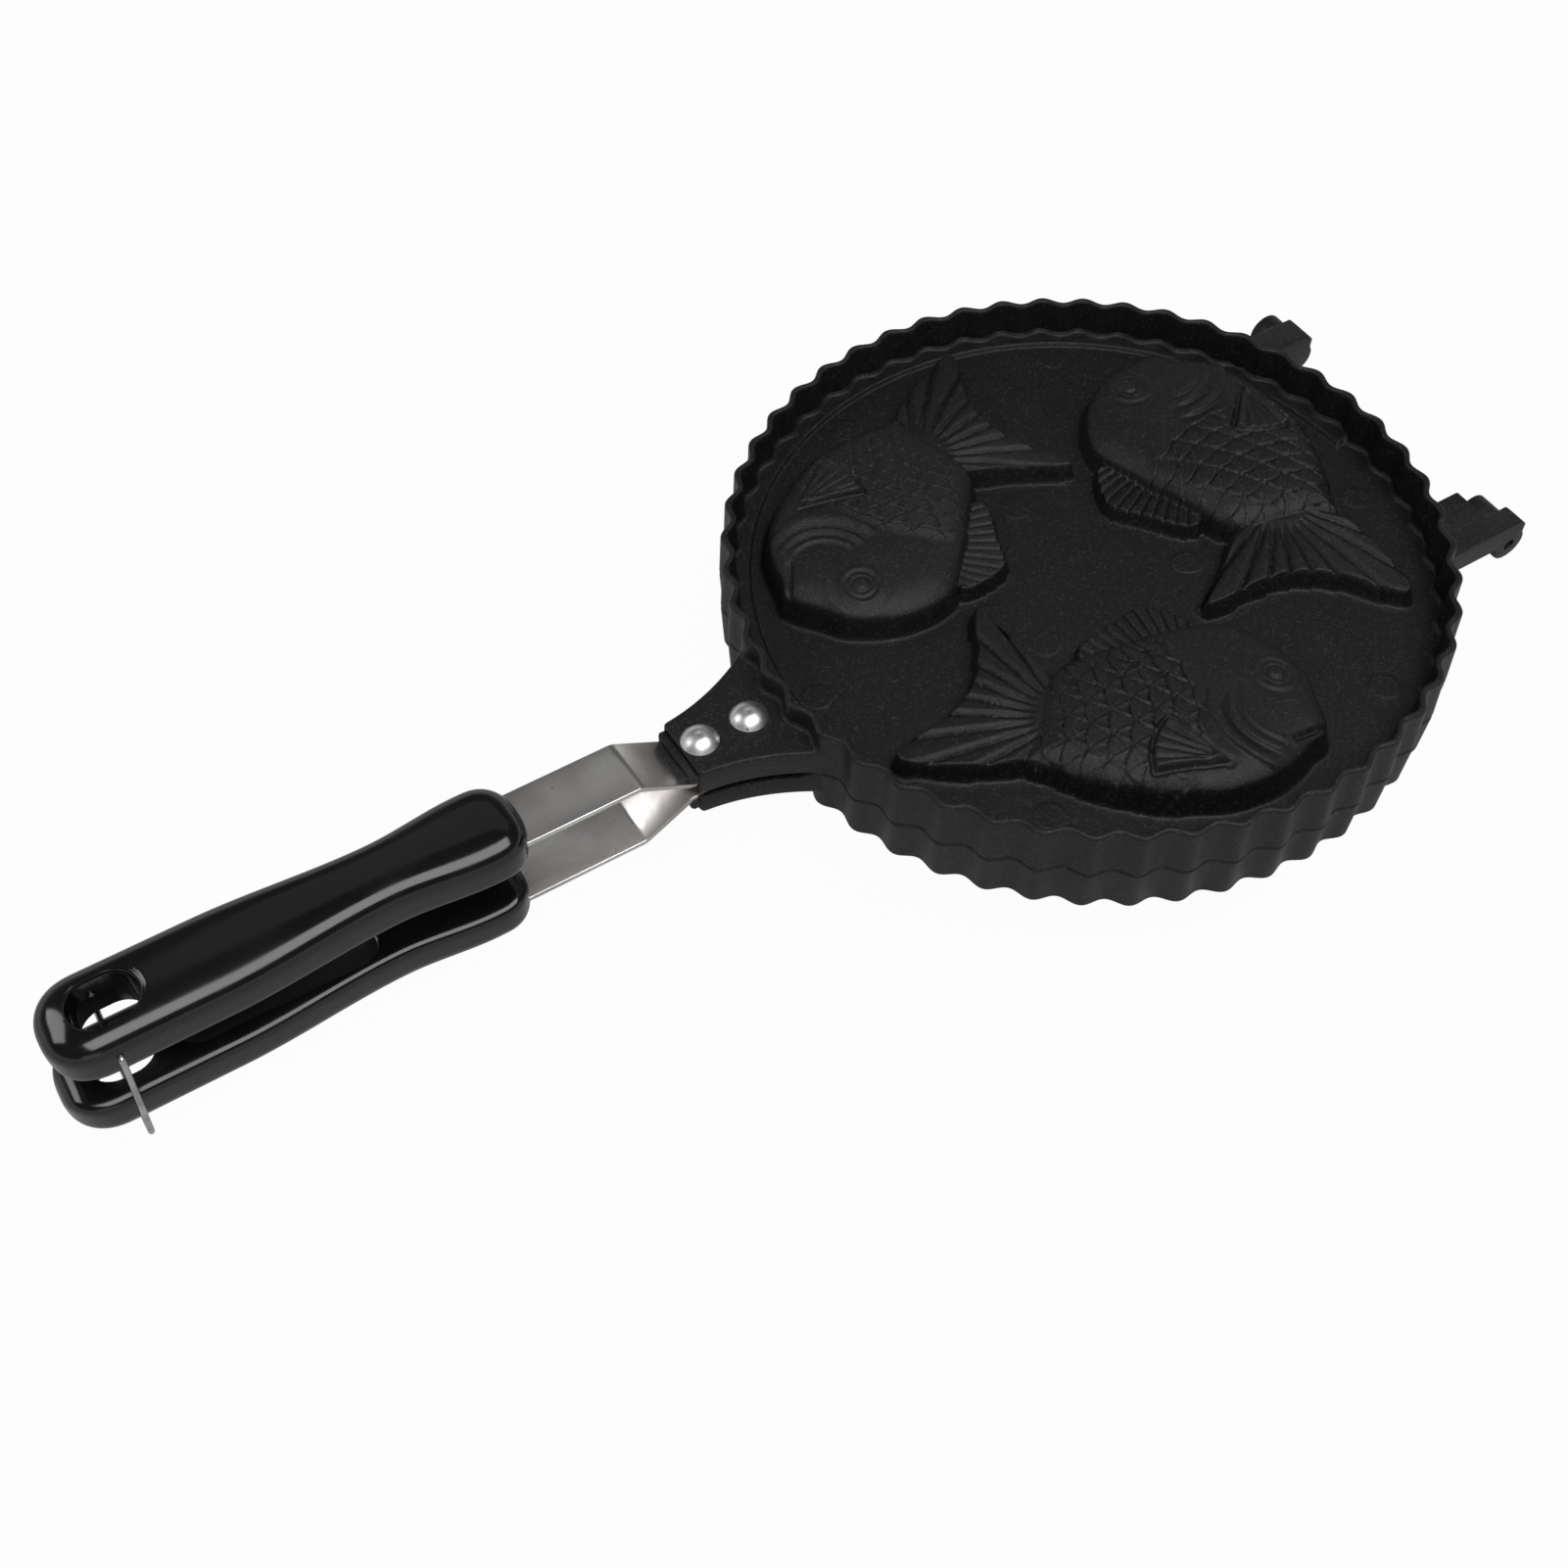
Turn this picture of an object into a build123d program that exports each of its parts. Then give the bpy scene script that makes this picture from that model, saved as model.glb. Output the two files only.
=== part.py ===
"""Double pan for three fish-shaped cakes, in millimetres, +Z up.

Two like castings meet at a level parting plane. The lower one is the upper one turned over about
the X axis, apart from its fish, which face the fish above them. The handles point along -X, and the
hinge lies at +X. The origin is the pan's centre, in the plane of the lower casting's base rim.
"""
from build123d import *
import os
from math import cos, sin, tan, pi, radians

os.makedirs("parts", exist_ok=True)

# Castings
pan_radius = 100.0            # at the tips of the flutes, at the parting plane
rim_draft = 0.7               # how much less that is at the outer rim
flute_count = 50
flute_depth = 2.2
flute_points = 6              # spans of each flute's curve
wall = 2.7                    # from the tips of the flutes to those of the well's inner face
well_flute_depth = 2.0
well_draft = 0.2
half_height = 14.75           # from the parting plane to the outer rim of one casting
plate_thickness = 2.25
ring_edge = 3.7               # from the groove of the half ring to the tips of the flutes
ring_width = 5.8
ring_step = 1.3
ring_clearance = 0.3
ring_end_gap = 1.5            # from the middle plane to the end of the ring's tongue
overlap = 1.0                 # how far joined shapes run into each other, and cuts run past a face

# Fish: points in plan are in hundredths of the pan's radius
fish_count = 3
fish_wall = 2.0
body_below_rim = 0.7          # of the crown of the fish under the outer rim
dome_radius = 260.0
dome_middle = (-16.0, -60.0)
body_draft = 8.0              # degrees
tail_height = 6.8
fin_height = 5.2
ray_lift = 0.8
ray_width = 2.2
tail_rays = 7
tail_margin = 1.2             # from the tail's rays to its outline
tail_root = (-40.0, -42.0)
fin_rays = 8
fin_margin = 0.9
fin_root = (-6.0, -62.0)
join_width = 5.0              # of the passages that join the hollows of tail, fin and body
eye = (13.6, -62.0)
eye_radius = 5.4
pupil_radius = 2.5
eye_lift = 0.7
pupil_lift = 1.5
side_fin_lift = 1.0
gill_lift = 0.6
gill_width = 1.6
gill_count = 3
gill_spacing = 4.4

# Handle boss
boss_length = 27.0            # from the tips of the flutes to its end
boss_end_half_width = 9.6
boss_waist = 14.0             # from its end to where its hollow sides are measured
boss_waist_half_width = 12.5
boss_root_half_width = 19.0
boss_flare = (4.6, 5.0)       # from there to the outline's last point on the wall
boss_thickness = 8.25         # above the parting plane
boss_corner = 1.2
slot_width = 1.95             # air gap between the two bosses, on each one's own side
slot_run_out = 3.0
tongue_length = 4.4
tongue_half_width = 7.7
tongue_chamfer = 2.3
tongue_thickness = 1.6

# Steel tangs
tang_width = 16.3
tang_thickness = 1.5
tang_seat = 3.55              # top of the tang in the boss, above the parting plane
tang_side_gap = 0.15
tang_inset = 0.5              # from the tips of the flutes to the tang's end in the boss
ramp_gap = 1.5                # from the boss's end to the start of the ramp
ramp_length = 14.2
ramp_relief = 0.7             # depth of the relief in the tongue under the ramp
tang_in_grip = 89.9
grip_level = 11.2             # middle of the tang in the grip, above the parting plane
bend_radius = 4.0

# Rivets
rivet_outer_gap = 5.5         # from the boss's end
rivet_spacing = 14.5
rivet_head_radius = 5.05
rivet_head_height = 2.7
rivet_shank_radius = 2.5
rivet_tail_radius = 4.0
rivet_tail_height = 1.2
rivet_dimple_radius = 1.3
rivet_dimple_depth = 0.5

# Grips
bare_tang = 29.4              # from the end of the ramp to the grip
grip_length = 120.95
grip_face_rear = 4.9          # inner face above the parting plane
grip_face_front = 5.6
grip_crown = 18.6             # outer face above the parting plane
grip_middle = 11.7            # widest level above the parting plane
grip_half_width_rear = 12.5
grip_half_width_waist = 11.0
grip_half_width_front = 12.0
waist_rear_gap = 41.05        # from the grip's rear end to where it starts to narrow
waist_gap = 33.9              # from its front end to its waist
waist_front_gap = 11.9        # and to where it is wide again
rear_round = 13.0
front_round = 10.5
rear_shoulder = 12.0
front_shoulder = 9.0
inner_shoulder = 6.0
end_power = 2.3               # 2 gives elliptical ends, more gives squarer ones
crown_power = 2.9             # the same for the outer half of the section
face_power = 6.0              # and for its inner half
section_points = 40
end_stations = 8
middle_stations = 12
first_station = 0.1           # from the tip of a rounded end
lower_grip_offset = 2.1       # how much further out the lower grip sits
hang_gap = 16.45              # from the grip's rear end to the middle of its hanging hole
hang_length = 16.6
hang_width = 13.3
hang_lip = 1.0
recess_rear_gap = 29.05
recess_length = 53.0
recess_width = 14.4
recess_depth = 3.4

# Hinge
hinge_reach = 8.6             # from the tips of the flutes to the pin
hinge_half_width = 53.0
knuckle_radius = 5.2
lug_height = 8.25             # above the parting plane
lug_tip = 4.2                 # beyond the pin
lug_foot = 2.0                # above the parting plane, where the tip meets the knuckle
lug_chamfer = 2.2
lug_root = 20.0               # from the tips of the flutes inward
outer_lug_width = 6.8
inner_lug_width = 9.0
lug_gap = 0.4
web_gap = 0.5                 # between the mating knuckle and the block that it turns against
web_overrun = 1.9
pin_radius = 1.7
pin_clearance = 0.05
pin_recess = 1.2
pin_seat = 7.0                # depth of the pin in the inner lug

# Wire latch
wire_radius = 0.8
latch_pivot_gap = 1.8         # from the middle of the hanging hole
latch_pivot_rise = 0.55       # above the grip's widest level
latch_lean = 1.9              # of the crossbar behind the pivot
latch_side_gap = 0.3
latch_under_gap = 1.45        # between the crossbar and the lower grip
latch_end_show = 0.45         # of the wire's two ends in the hanging hole
latch_bend = 0.95
latch_hole_clearance = 0.09

parting = half_height
plate_top = plate_thickness
body_height = half_height - plate_thickness - body_below_rim
fish_unit = pan_radius / 100
well_radius = pan_radius - wall
ring_outer_radius = pan_radius - ring_edge
ring_inner_radius = ring_outer_radius - ring_width
boss_end = -pan_radius - boss_length
boss_root = overlap - pan_radius
tang_start = tang_inset - pan_radius
ramp_start = boss_end - ramp_gap
ramp_end = ramp_start - ramp_length
rivet_outer_x = boss_end + rivet_outer_gap
rivet_inner_x = rivet_outer_x + rivet_spacing
grip_front = ramp_end - bare_tang
grip_rear = grip_front - grip_length
tang_end = grip_front - tang_in_grip
waist_rear = grip_rear + waist_rear_gap
waist_x = grip_front - waist_gap
waist_front = grip_front - waist_front_gap
hang_x = grip_rear + hang_gap
recess_x = grip_rear + recess_rear_gap + recess_length / 2
hinge_x = pan_radius + hinge_reach
lug_end = hinge_x + lug_tip
lug_start = pan_radius - lug_root
web_end = hinge_x - knuckle_radius - web_gap
outer_lug = (-hinge_half_width, outer_lug_width - hinge_half_width)
inner_lug = (-outer_lug[1] - lug_gap - inner_lug_width, -outer_lug[1] - lug_gap)
latch_pivot_x = hang_x - latch_pivot_gap
latch_pivot_z = grip_middle + latch_pivot_rise
latch_bar_z = -(grip_crown + latch_under_gap + wire_radius)
latch_half_width = grip_half_width_rear + latch_side_gap + wire_radius
latch_tip = hang_width / 2 - latch_end_show


def fluted_face(radius, depth, z):
    """A disc whose edge is a cosine wave, one curve to each flute, with a valley on the X axis."""
    def wave(angle):
        r = radius - depth * (1 + cos(flute_count * angle)) / 2
        return (r * cos(angle), r * sin(angle), z)

    pitch = 2 * pi / flute_count
    flutes = []
    for i in range(flute_count):
        start = pitch * i
        stop = pitch * ((i + 1) % flute_count)
        inner = [wave(start + pitch * k / flute_points) for k in range(1, flute_points)]
        flutes.append(Spline(wave(start), *inner, wave(stop),
                             tangents=[(-sin(start), cos(start), 0), (-sin(stop), cos(stop), 0)]))
    return make_face(flutes)


def in_plan(*points):
    """Points of the fish's plan in millimetres."""
    return [(fish_unit * x, fish_unit * y) for x, y in points]


def box_between(x0, x1, y0, y1, z0, z1):
    """A block given by its two corners."""
    middle = ((x0 + x1) / 2, (y0 + y1) / 2, (z0 + z1) / 2)
    return Pos(*middle) * Box(x1 - x0, y1 - y0, z1 - z0)


def prism(points, z0, z1):
    """A straight-sided block over a plan outline."""
    return extrude(Pos(0, 0, z0) * make_face(Polyline(*points, close=True)), z1 - z0)


def side_prism(points, y0, y1):
    """A block over an outline in X and Z, between two values of Y."""
    profile = make_face(Polyline(*[(x, 0, z) for x, z in points], close=True))
    return extrude(Pos(0, y0, 0) * profile, y1 - y0, dir=(0, 1, 0))


def half_ring(inner, outer, z0, z1, side, end_gap):
    """Half of a flat ring, on the +Y side (side = 1) or the -Y side (side = -1)."""
    ring = Cylinder(outer, z1 - z0) - Cylinder(inner, z1 - z0)
    far = side * (outer + overlap)
    near = side * end_gap
    keep = box_between(-outer - overlap, outer + overlap, min(near, far), max(near, far), z0, z1)
    return (Pos(0, 0, (z0 + z1) / 2) * ring) & keep


def body_outline():
    """Plan of the fish from its tail's root round the belly, the head and the back."""
    back = Spline(in_plan(
        (-56.2, -48.6), (-48.7, -60.8), (-34.0, -76.9), (-17.2, -86.4), (-5.2, -88.4), (9.0, -85.2),
        (19.0, -78.9), (23.8, -67.6), (23.8, -52.3), (16.3, -38.1), (-2.0, -31.0), (-30.9, -27.6)))
    return make_face([back, Line(back @ 1, back @ 0)])


def tail_outline():
    """Plan of the tail: two lobes about a hollow trailing edge."""
    upper_tip = ThreePointArc(*in_plan((-34.0, -0.9), (-36.0, 1.6), (-38.0, 0.0)))
    hollow = ThreePointArc(*in_plan((-38.0, 0.0), (-47.5, -15.2), (-62.0, -25.0)))
    lobe = Line(*in_plan((-62.0, -25.0), (-81.0, -27.8)))
    lower_tip = ThreePointArc(*in_plan((-81.0, -27.8), (-83.0, -30.4), (-81.6, -33.6)))
    root = Polyline(*in_plan((-81.6, -33.6), (-72.7, -40.9), (-56.2, -48.6), (-44.0, -46.0),
                             (-30.9, -27.6), (-34.0, -0.9)))
    return make_face([upper_tip, hollow, lobe, lower_tip, root])


def fin_outline():
    """Plan of the back fin."""
    return make_face(Polyline(*in_plan((11.3, -35.6), (2.7, -21.0), (-21.0, -23.7), (-22.8, -30.0)),
                              close=True))


def side_fin_outline():
    """Plan of the small fan-shaped fin on the fish's side."""
    fan = ThreePointArc(*in_plan((-19.9, -60.9), (-28.5, -64.0), (-32.0, -70.1)))
    return make_face([fan, Polyline(*in_plan((-32.0, -70.1), (-14.9, -78.2), (-19.9, -60.9)))])


def gill_arc(i):
    """One of the curved gill ridges behind the head."""
    x = -3.0 - gill_spacing * i
    outer = ThreePointArc(*in_plan((x + 1.0, -62.5), (x - 4.0, -72.0), (x + 3.0, -82.0)))
    inner = Pos(gill_width, 0) * ThreePointArc(outer @ 1, outer @ 0.5, outer @ 0)
    return make_face([outer, Line(outer @ 1, inner @ 0), inner, Line(inner @ 1, outer @ 0)])


def dome(lift):
    """The ball whose cap is the crown of the fish, grown by lift."""
    x, y = in_plan(dome_middle)[0]
    return Pos(x, y, plate_top + body_height - dome_radius) * Sphere(dome_radius + lift)


def under_dome(face, lift):
    """A column over a plan outline, cut off along the fish's crown."""
    column = extrude(Pos(0, 0, tail_height / 2) * face, plate_top + body_height)
    return column & dome(lift)


def rays(root, ends, count, top, outline):
    """Ribs that spread from a root point to evenly spaced points between two ends."""
    found = []
    for i in range(count):
        part = (i + 0.5) / count
        tip = ends[0] * (1 - part) + ends[1] * part
        run = tip - root
        rib = Rectangle(run.length * 2, ray_width)
        turned = Pos(root) * Rot(0, 0, Vector(1, 0, 0).get_signed_angle(run, Vector(0, 0, 1))) * rib
        found.append(extrude(turned, top) & extrude(outline, top))
    return found


def fish(inset):
    """One fish, raised from the parting plane; an inset of the wall's thickness gives its hollow."""
    def shrunk(face):
        if inset == 0:
            return face
        return offset(face, -inset, kind=Kind.ARC)

    base = plate_top - inset
    drop = inset / tan(radians(body_draft))
    column = drop + plate_top + body_height
    trunk = extrude(Pos(0, 0, -drop) * body_outline(), column, taper=body_draft) & dome(-inset)
    tail = extrude(shrunk(tail_outline()), base + tail_height)
    fin = extrude(shrunk(fin_outline()), base + fin_height)
    whole = trunk + tail + fin
    if inset == 0:
        tail_ends = [Vector(*point) for point in in_plan((-36.0, 0.0), (-81.0, -31.0))]
        fin_ends = [Vector(*point) for point in in_plan((8.0, -28.0), (-24.0, -26.0))]
        roots = [Vector(*point) for point in in_plan(tail_root, fin_root)]
        whole += rays(roots[0], tail_ends, tail_rays, base + tail_height + ray_lift,
                      offset(tail_outline(), -tail_margin, kind=Kind.ARC))
        whole += rays(roots[1], fin_ends, fin_rays, base + fin_height + ray_lift,
                      offset(fin_outline(), -fin_margin, kind=Kind.ARC))
    else:
        tail_join, fin_join = in_plan((-44.0, -37.5), (-7.0, -30.5))
        passage = Rectangle(26.0 * fish_unit, join_width)
        whole += extrude(Pos(*tail_join) * Rot(0, 0, -42) * passage, base + tail_height)
        whole += extrude(Pos(*fin_join) * Rot(0, 0, -8) * passage, base + fin_height)
    middle = Pos(*in_plan(eye)[0])
    whole += under_dome(middle * Circle(eye_radius), eye_lift - inset)
    whole += under_dome(middle * Circle(pupil_radius), pupil_lift - inset)
    whole += under_dome(side_fin_outline(), side_fin_lift - inset)
    for i in range(gill_count):
        whole += under_dome(gill_arc(i), gill_lift - inset)
    return whole


def boss_plan():
    """Plan of the handle boss: it narrows from the wall to its end along two hollow curves."""
    waist_x = boss_end + boss_waist
    flare_x = boss_root + boss_flare[0]
    flare_y = boss_root_half_width + boss_flare[1]
    inner_x = overlap - well_radius + well_flute_depth + overlap
    half = boss_root_half_width
    left = ThreePointArc((boss_end, boss_end_half_width), (waist_x, boss_waist_half_width), (boss_root, half))
    right = ThreePointArc((boss_root, -half), (waist_x, -boss_waist_half_width),
                          (boss_end, -boss_end_half_width))
    root = Polyline((boss_root, half), (flare_x, flare_y), (inner_x, flare_y), (inner_x, -flare_y),
                    (flare_x, -flare_y), (boss_root, -half))
    end = Line((boss_end, -boss_end_half_width), (boss_end, boss_end_half_width))
    face = make_face([left, root, right, end])
    corners = face.vertices().sort_by(Axis.X)[:2]
    return fillet(corners, boss_corner)


def tang_path():
    """Middle line of the steel strip, above the parting plane."""
    seat = tang_seat - tang_thickness / 2
    return FilletPolyline((tang_start, 0, seat), (ramp_start, 0, seat), (ramp_end, 0, grip_level),
                          (tang_end, 0, grip_level), radius=bend_radius)


def tang(extra):
    """The bent strip, with its rivet holes; extra lengthens it at the grip."""
    path = tang_path()
    section = Plane(origin=path @ 0, x_dir=(0, 1, 0), z_dir=path % 0) * Rectangle(tang_width, tang_thickness)
    strip = sweep(section, path)
    if extra > 0:
        top = grip_level + tang_thickness / 2
        bottom = grip_level - tang_thickness / 2
        strip += box_between(tang_end - extra, tang_end, -tang_width / 2, tang_width / 2, bottom, top)
    for x in (rivet_outer_x, rivet_inner_x):
        strip -= Pos(x, 0, tang_seat) * Cylinder(rivet_shank_radius, 2 * boss_thickness)
    return strip


def add_boss(casting):
    """The handle boss, its tongue and the channel that holds the tang."""
    casting += extrude(boss_plan(), boss_thickness)
    reach = boss_end - tongue_length
    tongue = prism([(boss_end + overlap, -tongue_half_width), (boss_end + overlap, tongue_half_width),
                    (reach + tongue_chamfer, tongue_half_width), (reach, tongue_half_width - tongue_chamfer),
                    (reach, -tongue_half_width + tongue_chamfer),
                    (reach + tongue_chamfer, -tongue_half_width)],
                   tang_seat, tang_seat + tongue_thickness)
    return casting + tongue


def cut_boss(casting):
    """Cuts the channel, the air gap on one side and the rivet holes."""
    half = tang_width / 2 + tang_side_gap
    end = boss_end - overlap
    slot_end = overlap - ring_outer_radius - slot_run_out
    casting -= box_between(end, tang_start + tang_inset, -half, half, -overlap, tang_seat)
    casting -= side_prism([(end, -overlap), (end, slot_width), (slot_end - slot_run_out, slot_width),
                           (slot_end, 0), (slot_end, -overlap)], half - overlap / 2,
                          boss_root_half_width + boss_flare[1] + overlap)
    casting -= side_prism([(end, -overlap), (end, tang_seat), (ramp_start, tang_seat - ramp_relief),
                           (ramp_end, grip_level), (ramp_end, -overlap)], -half, half)
    casting -= tang(0)
    for x in (rivet_outer_x, rivet_inner_x):
        casting -= Pos(x, 0, tang_seat) * Cylinder(rivet_shank_radius, 2 * half_height)
    return casting


def lug(y0, y1):
    """One hinge lug: a square-topped finger that is round below its pin."""
    finger = side_prism([(lug_start, 0), (lug_start, lug_height), (lug_end - lug_chamfer, lug_height),
                         (lug_end, lug_height - lug_chamfer), (lug_end, lug_foot), (hinge_x, 0)], y0, y1)
    knuckle = Pos(hinge_x, (y0 + y1) / 2, 0) * Rot(90, 0, 0) * Cylinder(knuckle_radius, y1 - y0)
    return finger + knuckle


def pin_bore(y0, y1, radius):
    """A round hole along the hinge axis."""
    return Pos(hinge_x, (y0 + y1) / 2, 0) * Rot(90, 0, 0) * Cylinder(radius, y1 - y0)


def blank():
    """A casting above the parting plane, before its fish and its cuts."""
    rim_radius = pan_radius - rim_draft
    body = loft([fluted_face(pan_radius, flute_depth, 0), fluted_face(rim_radius, flute_depth, half_height)],
                ruled=True)
    well = loft([fluted_face(well_radius - well_draft, well_flute_depth, plate_top),
                 fluted_face(well_radius, well_flute_depth, half_height)], ruled=True)
    ledge = half_ring(ring_inner_radius + overlap, pan_radius, plate_top - overlap / 2,
                      plate_top + ring_step, 1, 0)
    web = box_between(lug_start, web_end, outer_lug[1], web_overrun - inner_lug[0], 0, lug_height)
    body = add_boss(body) + [lug(*outer_lug), lug(*inner_lug), web]
    return body - (well - ledge)


def cut(body):
    """Cuts the boss, the groove of the half ring and the pin bores, and adds the ring's rib."""
    body = cut_boss(body)
    rib_height = ring_step - ring_clearance
    rib = half_ring(ring_inner_radius + ring_clearance, ring_outer_radius - ring_clearance,
                    -rib_height, overlap / 5, -1, ring_end_gap)
    groove = half_ring(ring_inner_radius, ring_outer_radius, -overlap, ring_step, 1, 0)
    running_bore = pin_bore(outer_lug[0] - overlap, outer_lug[1] + overlap, pin_radius + pin_clearance)
    tight_bore = pin_bore(inner_lug[1] - pin_seat, inner_lug[1] + overlap, pin_radius)
    return body + rib - [groove, running_bore, tight_bore]


def with_fish(body, raised, hollow):
    """Adds the three fish to a casting and hollows them from the parting plane."""
    turns = [Rot(0, 0, 360 / fish_count * i) for i in range(fish_count)]
    body += [turn * raised for turn in turns]
    return body - [turn * hollow for turn in turns]


def rivet(x):
    """A domed rivet with a dimpled head, its shank and its closed tail."""
    ball = (rivet_head_radius ** 2 + rivet_head_height ** 2) / (2 * rivet_head_height)
    head = Pos(x, 0, boss_thickness + rivet_head_height - ball) * Sphere(ball)
    head &= Pos(x, 0, boss_thickness + rivet_head_height / 2) * Cylinder(rivet_head_radius + overlap,
                                                                         rivet_head_height)
    shank_bottom = tang_seat - tang_thickness - rivet_tail_height
    shank_length = boss_thickness - shank_bottom
    shank = Pos(x, 0, shank_bottom + shank_length / 2) * Cylinder(rivet_shank_radius, shank_length)
    tail = Pos(x, 0, shank_bottom + rivet_tail_height / 2) * Cylinder(rivet_tail_radius, rivet_tail_height)
    crown = boss_thickness + rivet_head_height
    dimple = Pos(x, 0, crown) * Cylinder(rivet_dimple_radius, 2 * rivet_dimple_depth)
    return head + shank + tail - dimple


def round_off(distance, length):
    """From 0 at the tip of a rounded end to 1 where the rounding stops."""
    part = 1 - min(distance / length, 1)
    return (1 - part ** end_power) ** (1 / end_power)


def ease(x, start, stop):
    """A smooth step from 0 at start to 1 at stop."""
    part = min(max((x - start) / (stop - start), 0), 1)
    return part * part * (3 - 2 * part)


def grip_section(x):
    """Outline of a grip across its length: a rounded box, flatter on its inner side."""
    rear = x - grip_rear
    front = grip_front - x
    half_width = grip_half_width_rear
    half_width += (grip_half_width_waist - grip_half_width_rear) * ease(x, waist_rear, waist_x)
    half_width += (grip_half_width_front - grip_half_width_waist) * ease(x, waist_x, waist_front)
    half_width *= round_off(rear, rear_round) * round_off(front, front_round)
    face = grip_face_rear + (grip_face_front - grip_face_rear) * rear / (grip_front - grip_rear)
    above = (grip_crown - grip_middle) * round_off(rear, rear_shoulder) * round_off(front, front_shoulder)
    below = (grip_middle - face) * round_off(rear, inner_shoulder) * round_off(front, inner_shoulder)
    points = []
    for i in range(section_points):
        angle = 2 * pi * (i + 0.5) / section_points
        side = cos(angle)
        rise = sin(angle)
        power = crown_power if rise > 0 else face_power
        y = half_width * abs(side) ** (2 / power) * (1 if side > 0 else -1)
        z = abs(rise) ** (2 / power) * (above if rise > 0 else -below)
        points.append((x, y, grip_middle + z))
    return make_face(Polyline(*points, close=True))


def grip():
    """One grip above the parting plane, with its hanging hole and the recess in its inner face."""
    stations = []
    for i in range(end_stations):
        stations.append(grip_rear + rear_round * (i / end_stations) ** 2 + first_station)
    for i in range(middle_stations + 1):
        start = grip_rear + rear_round
        stations.append(start + (grip_front - front_round - start) * i / middle_stations)
    for i in reversed(range(end_stations)):
        stations.append(grip_front - front_round * (i / end_stations) ** 2 - first_station)
    body = loft([grip_section(x) for x in stations], ruled=True)
    body -= extrude(Pos(hang_x, 0, 0) * SlotOverall(hang_length, hang_width), 2 * grip_crown)
    lip = SlotOverall(hang_length + 2 * hang_lip, hang_width + 2 * hang_lip)
    body -= extrude(Pos(hang_x, 0, grip_crown) * lip, -2 * hang_lip, taper=45)
    recess = Pos(recess_x, 0, grip_face_rear - overlap) * SlotOverall(recess_length, recess_width)
    return body - extrude(recess, recess_depth + overlap)


def latch():
    """The wire bail: two bent ends, two legs and a crossbar under the lower grip."""
    bar_x = latch_pivot_x - latch_lean
    path = FilletPolyline((latch_pivot_x, latch_tip, latch_pivot_z),
                          (latch_pivot_x, latch_half_width, latch_pivot_z),
                          (bar_x, latch_half_width, latch_bar_z),
                          (bar_x, -latch_half_width, latch_bar_z),
                          (latch_pivot_x, -latch_half_width, latch_pivot_z),
                          (latch_pivot_x, -latch_tip, latch_pivot_z), radius=latch_bend)
    section = Plane(origin=path @ 0, z_dir=path % 0) * Circle(wire_radius)
    return sweep(section, path)


def upright(shape):
    """Lifts a shape built on the parting plane to its place in the upper half."""
    return Pos(0, 0, parting) * shape


def turned_over(shape):
    """Turns a shape of the upper half about the X axis to its place in the lower half."""
    return Pos(0, 0, parting) * Rot(180, 0, 0) * shape


def write(shape, name):
    """Writes one sub-part as its own file."""
    shape = shape.solids()[0] if len(shape.solids()) == 1 else shape
    shape.label = name
    export_step(shape, "parts/" + name + ".step")


upper_grip_shape = grip() - tang(0)
pivot_hole = Pos(latch_pivot_x, 0, latch_pivot_z) * Rot(90, 0, 0) * Cylinder(
    wire_radius + latch_hole_clearance, 2 * latch_half_width)
lower_grip_shape = Pos(-lower_grip_offset, 0, 0) * grip() - tang(lower_grip_offset)

raised_fish = fish(0)
hollow_fish = fish(fish_wall)
trimmed = cut(blank())
write(upright(with_fish(trimmed, raised_fish, hollow_fish)), "upper_pan")
facing = [mirror(shape, about=Plane.XZ) for shape in (raised_fish, hollow_fish)]
write(turned_over(with_fish(trimmed, *facing)), "lower_pan")
write(upright(tang(0)), "upper_tang")
write(turned_over(tang(lower_grip_offset)), "lower_tang")
write(upright(upper_grip_shape - pivot_hole), "upper_grip")
write(turned_over(lower_grip_shape), "lower_grip")
for place, x in (("inner", rivet_inner_x), ("outer", rivet_outer_x)):
    write(upright(rivet(x)), "upper_rivet_" + place)
    write(turned_over(rivet(x)), "lower_rivet_" + place)
pin_start = outer_lug[0] + pin_recess
pin_stop = -inner_lug[1] + pin_seat
pin = pin_bore(pin_start, pin_stop, pin_radius)
write(upright(pin), "hinge_pin_near")
write(turned_over(pin), "hinge_pin_far")
write(upright(latch()), "latch_wire")
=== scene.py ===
from math import radians

import bpy
import numpy as np
from mathutils import Matrix, Vector


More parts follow.
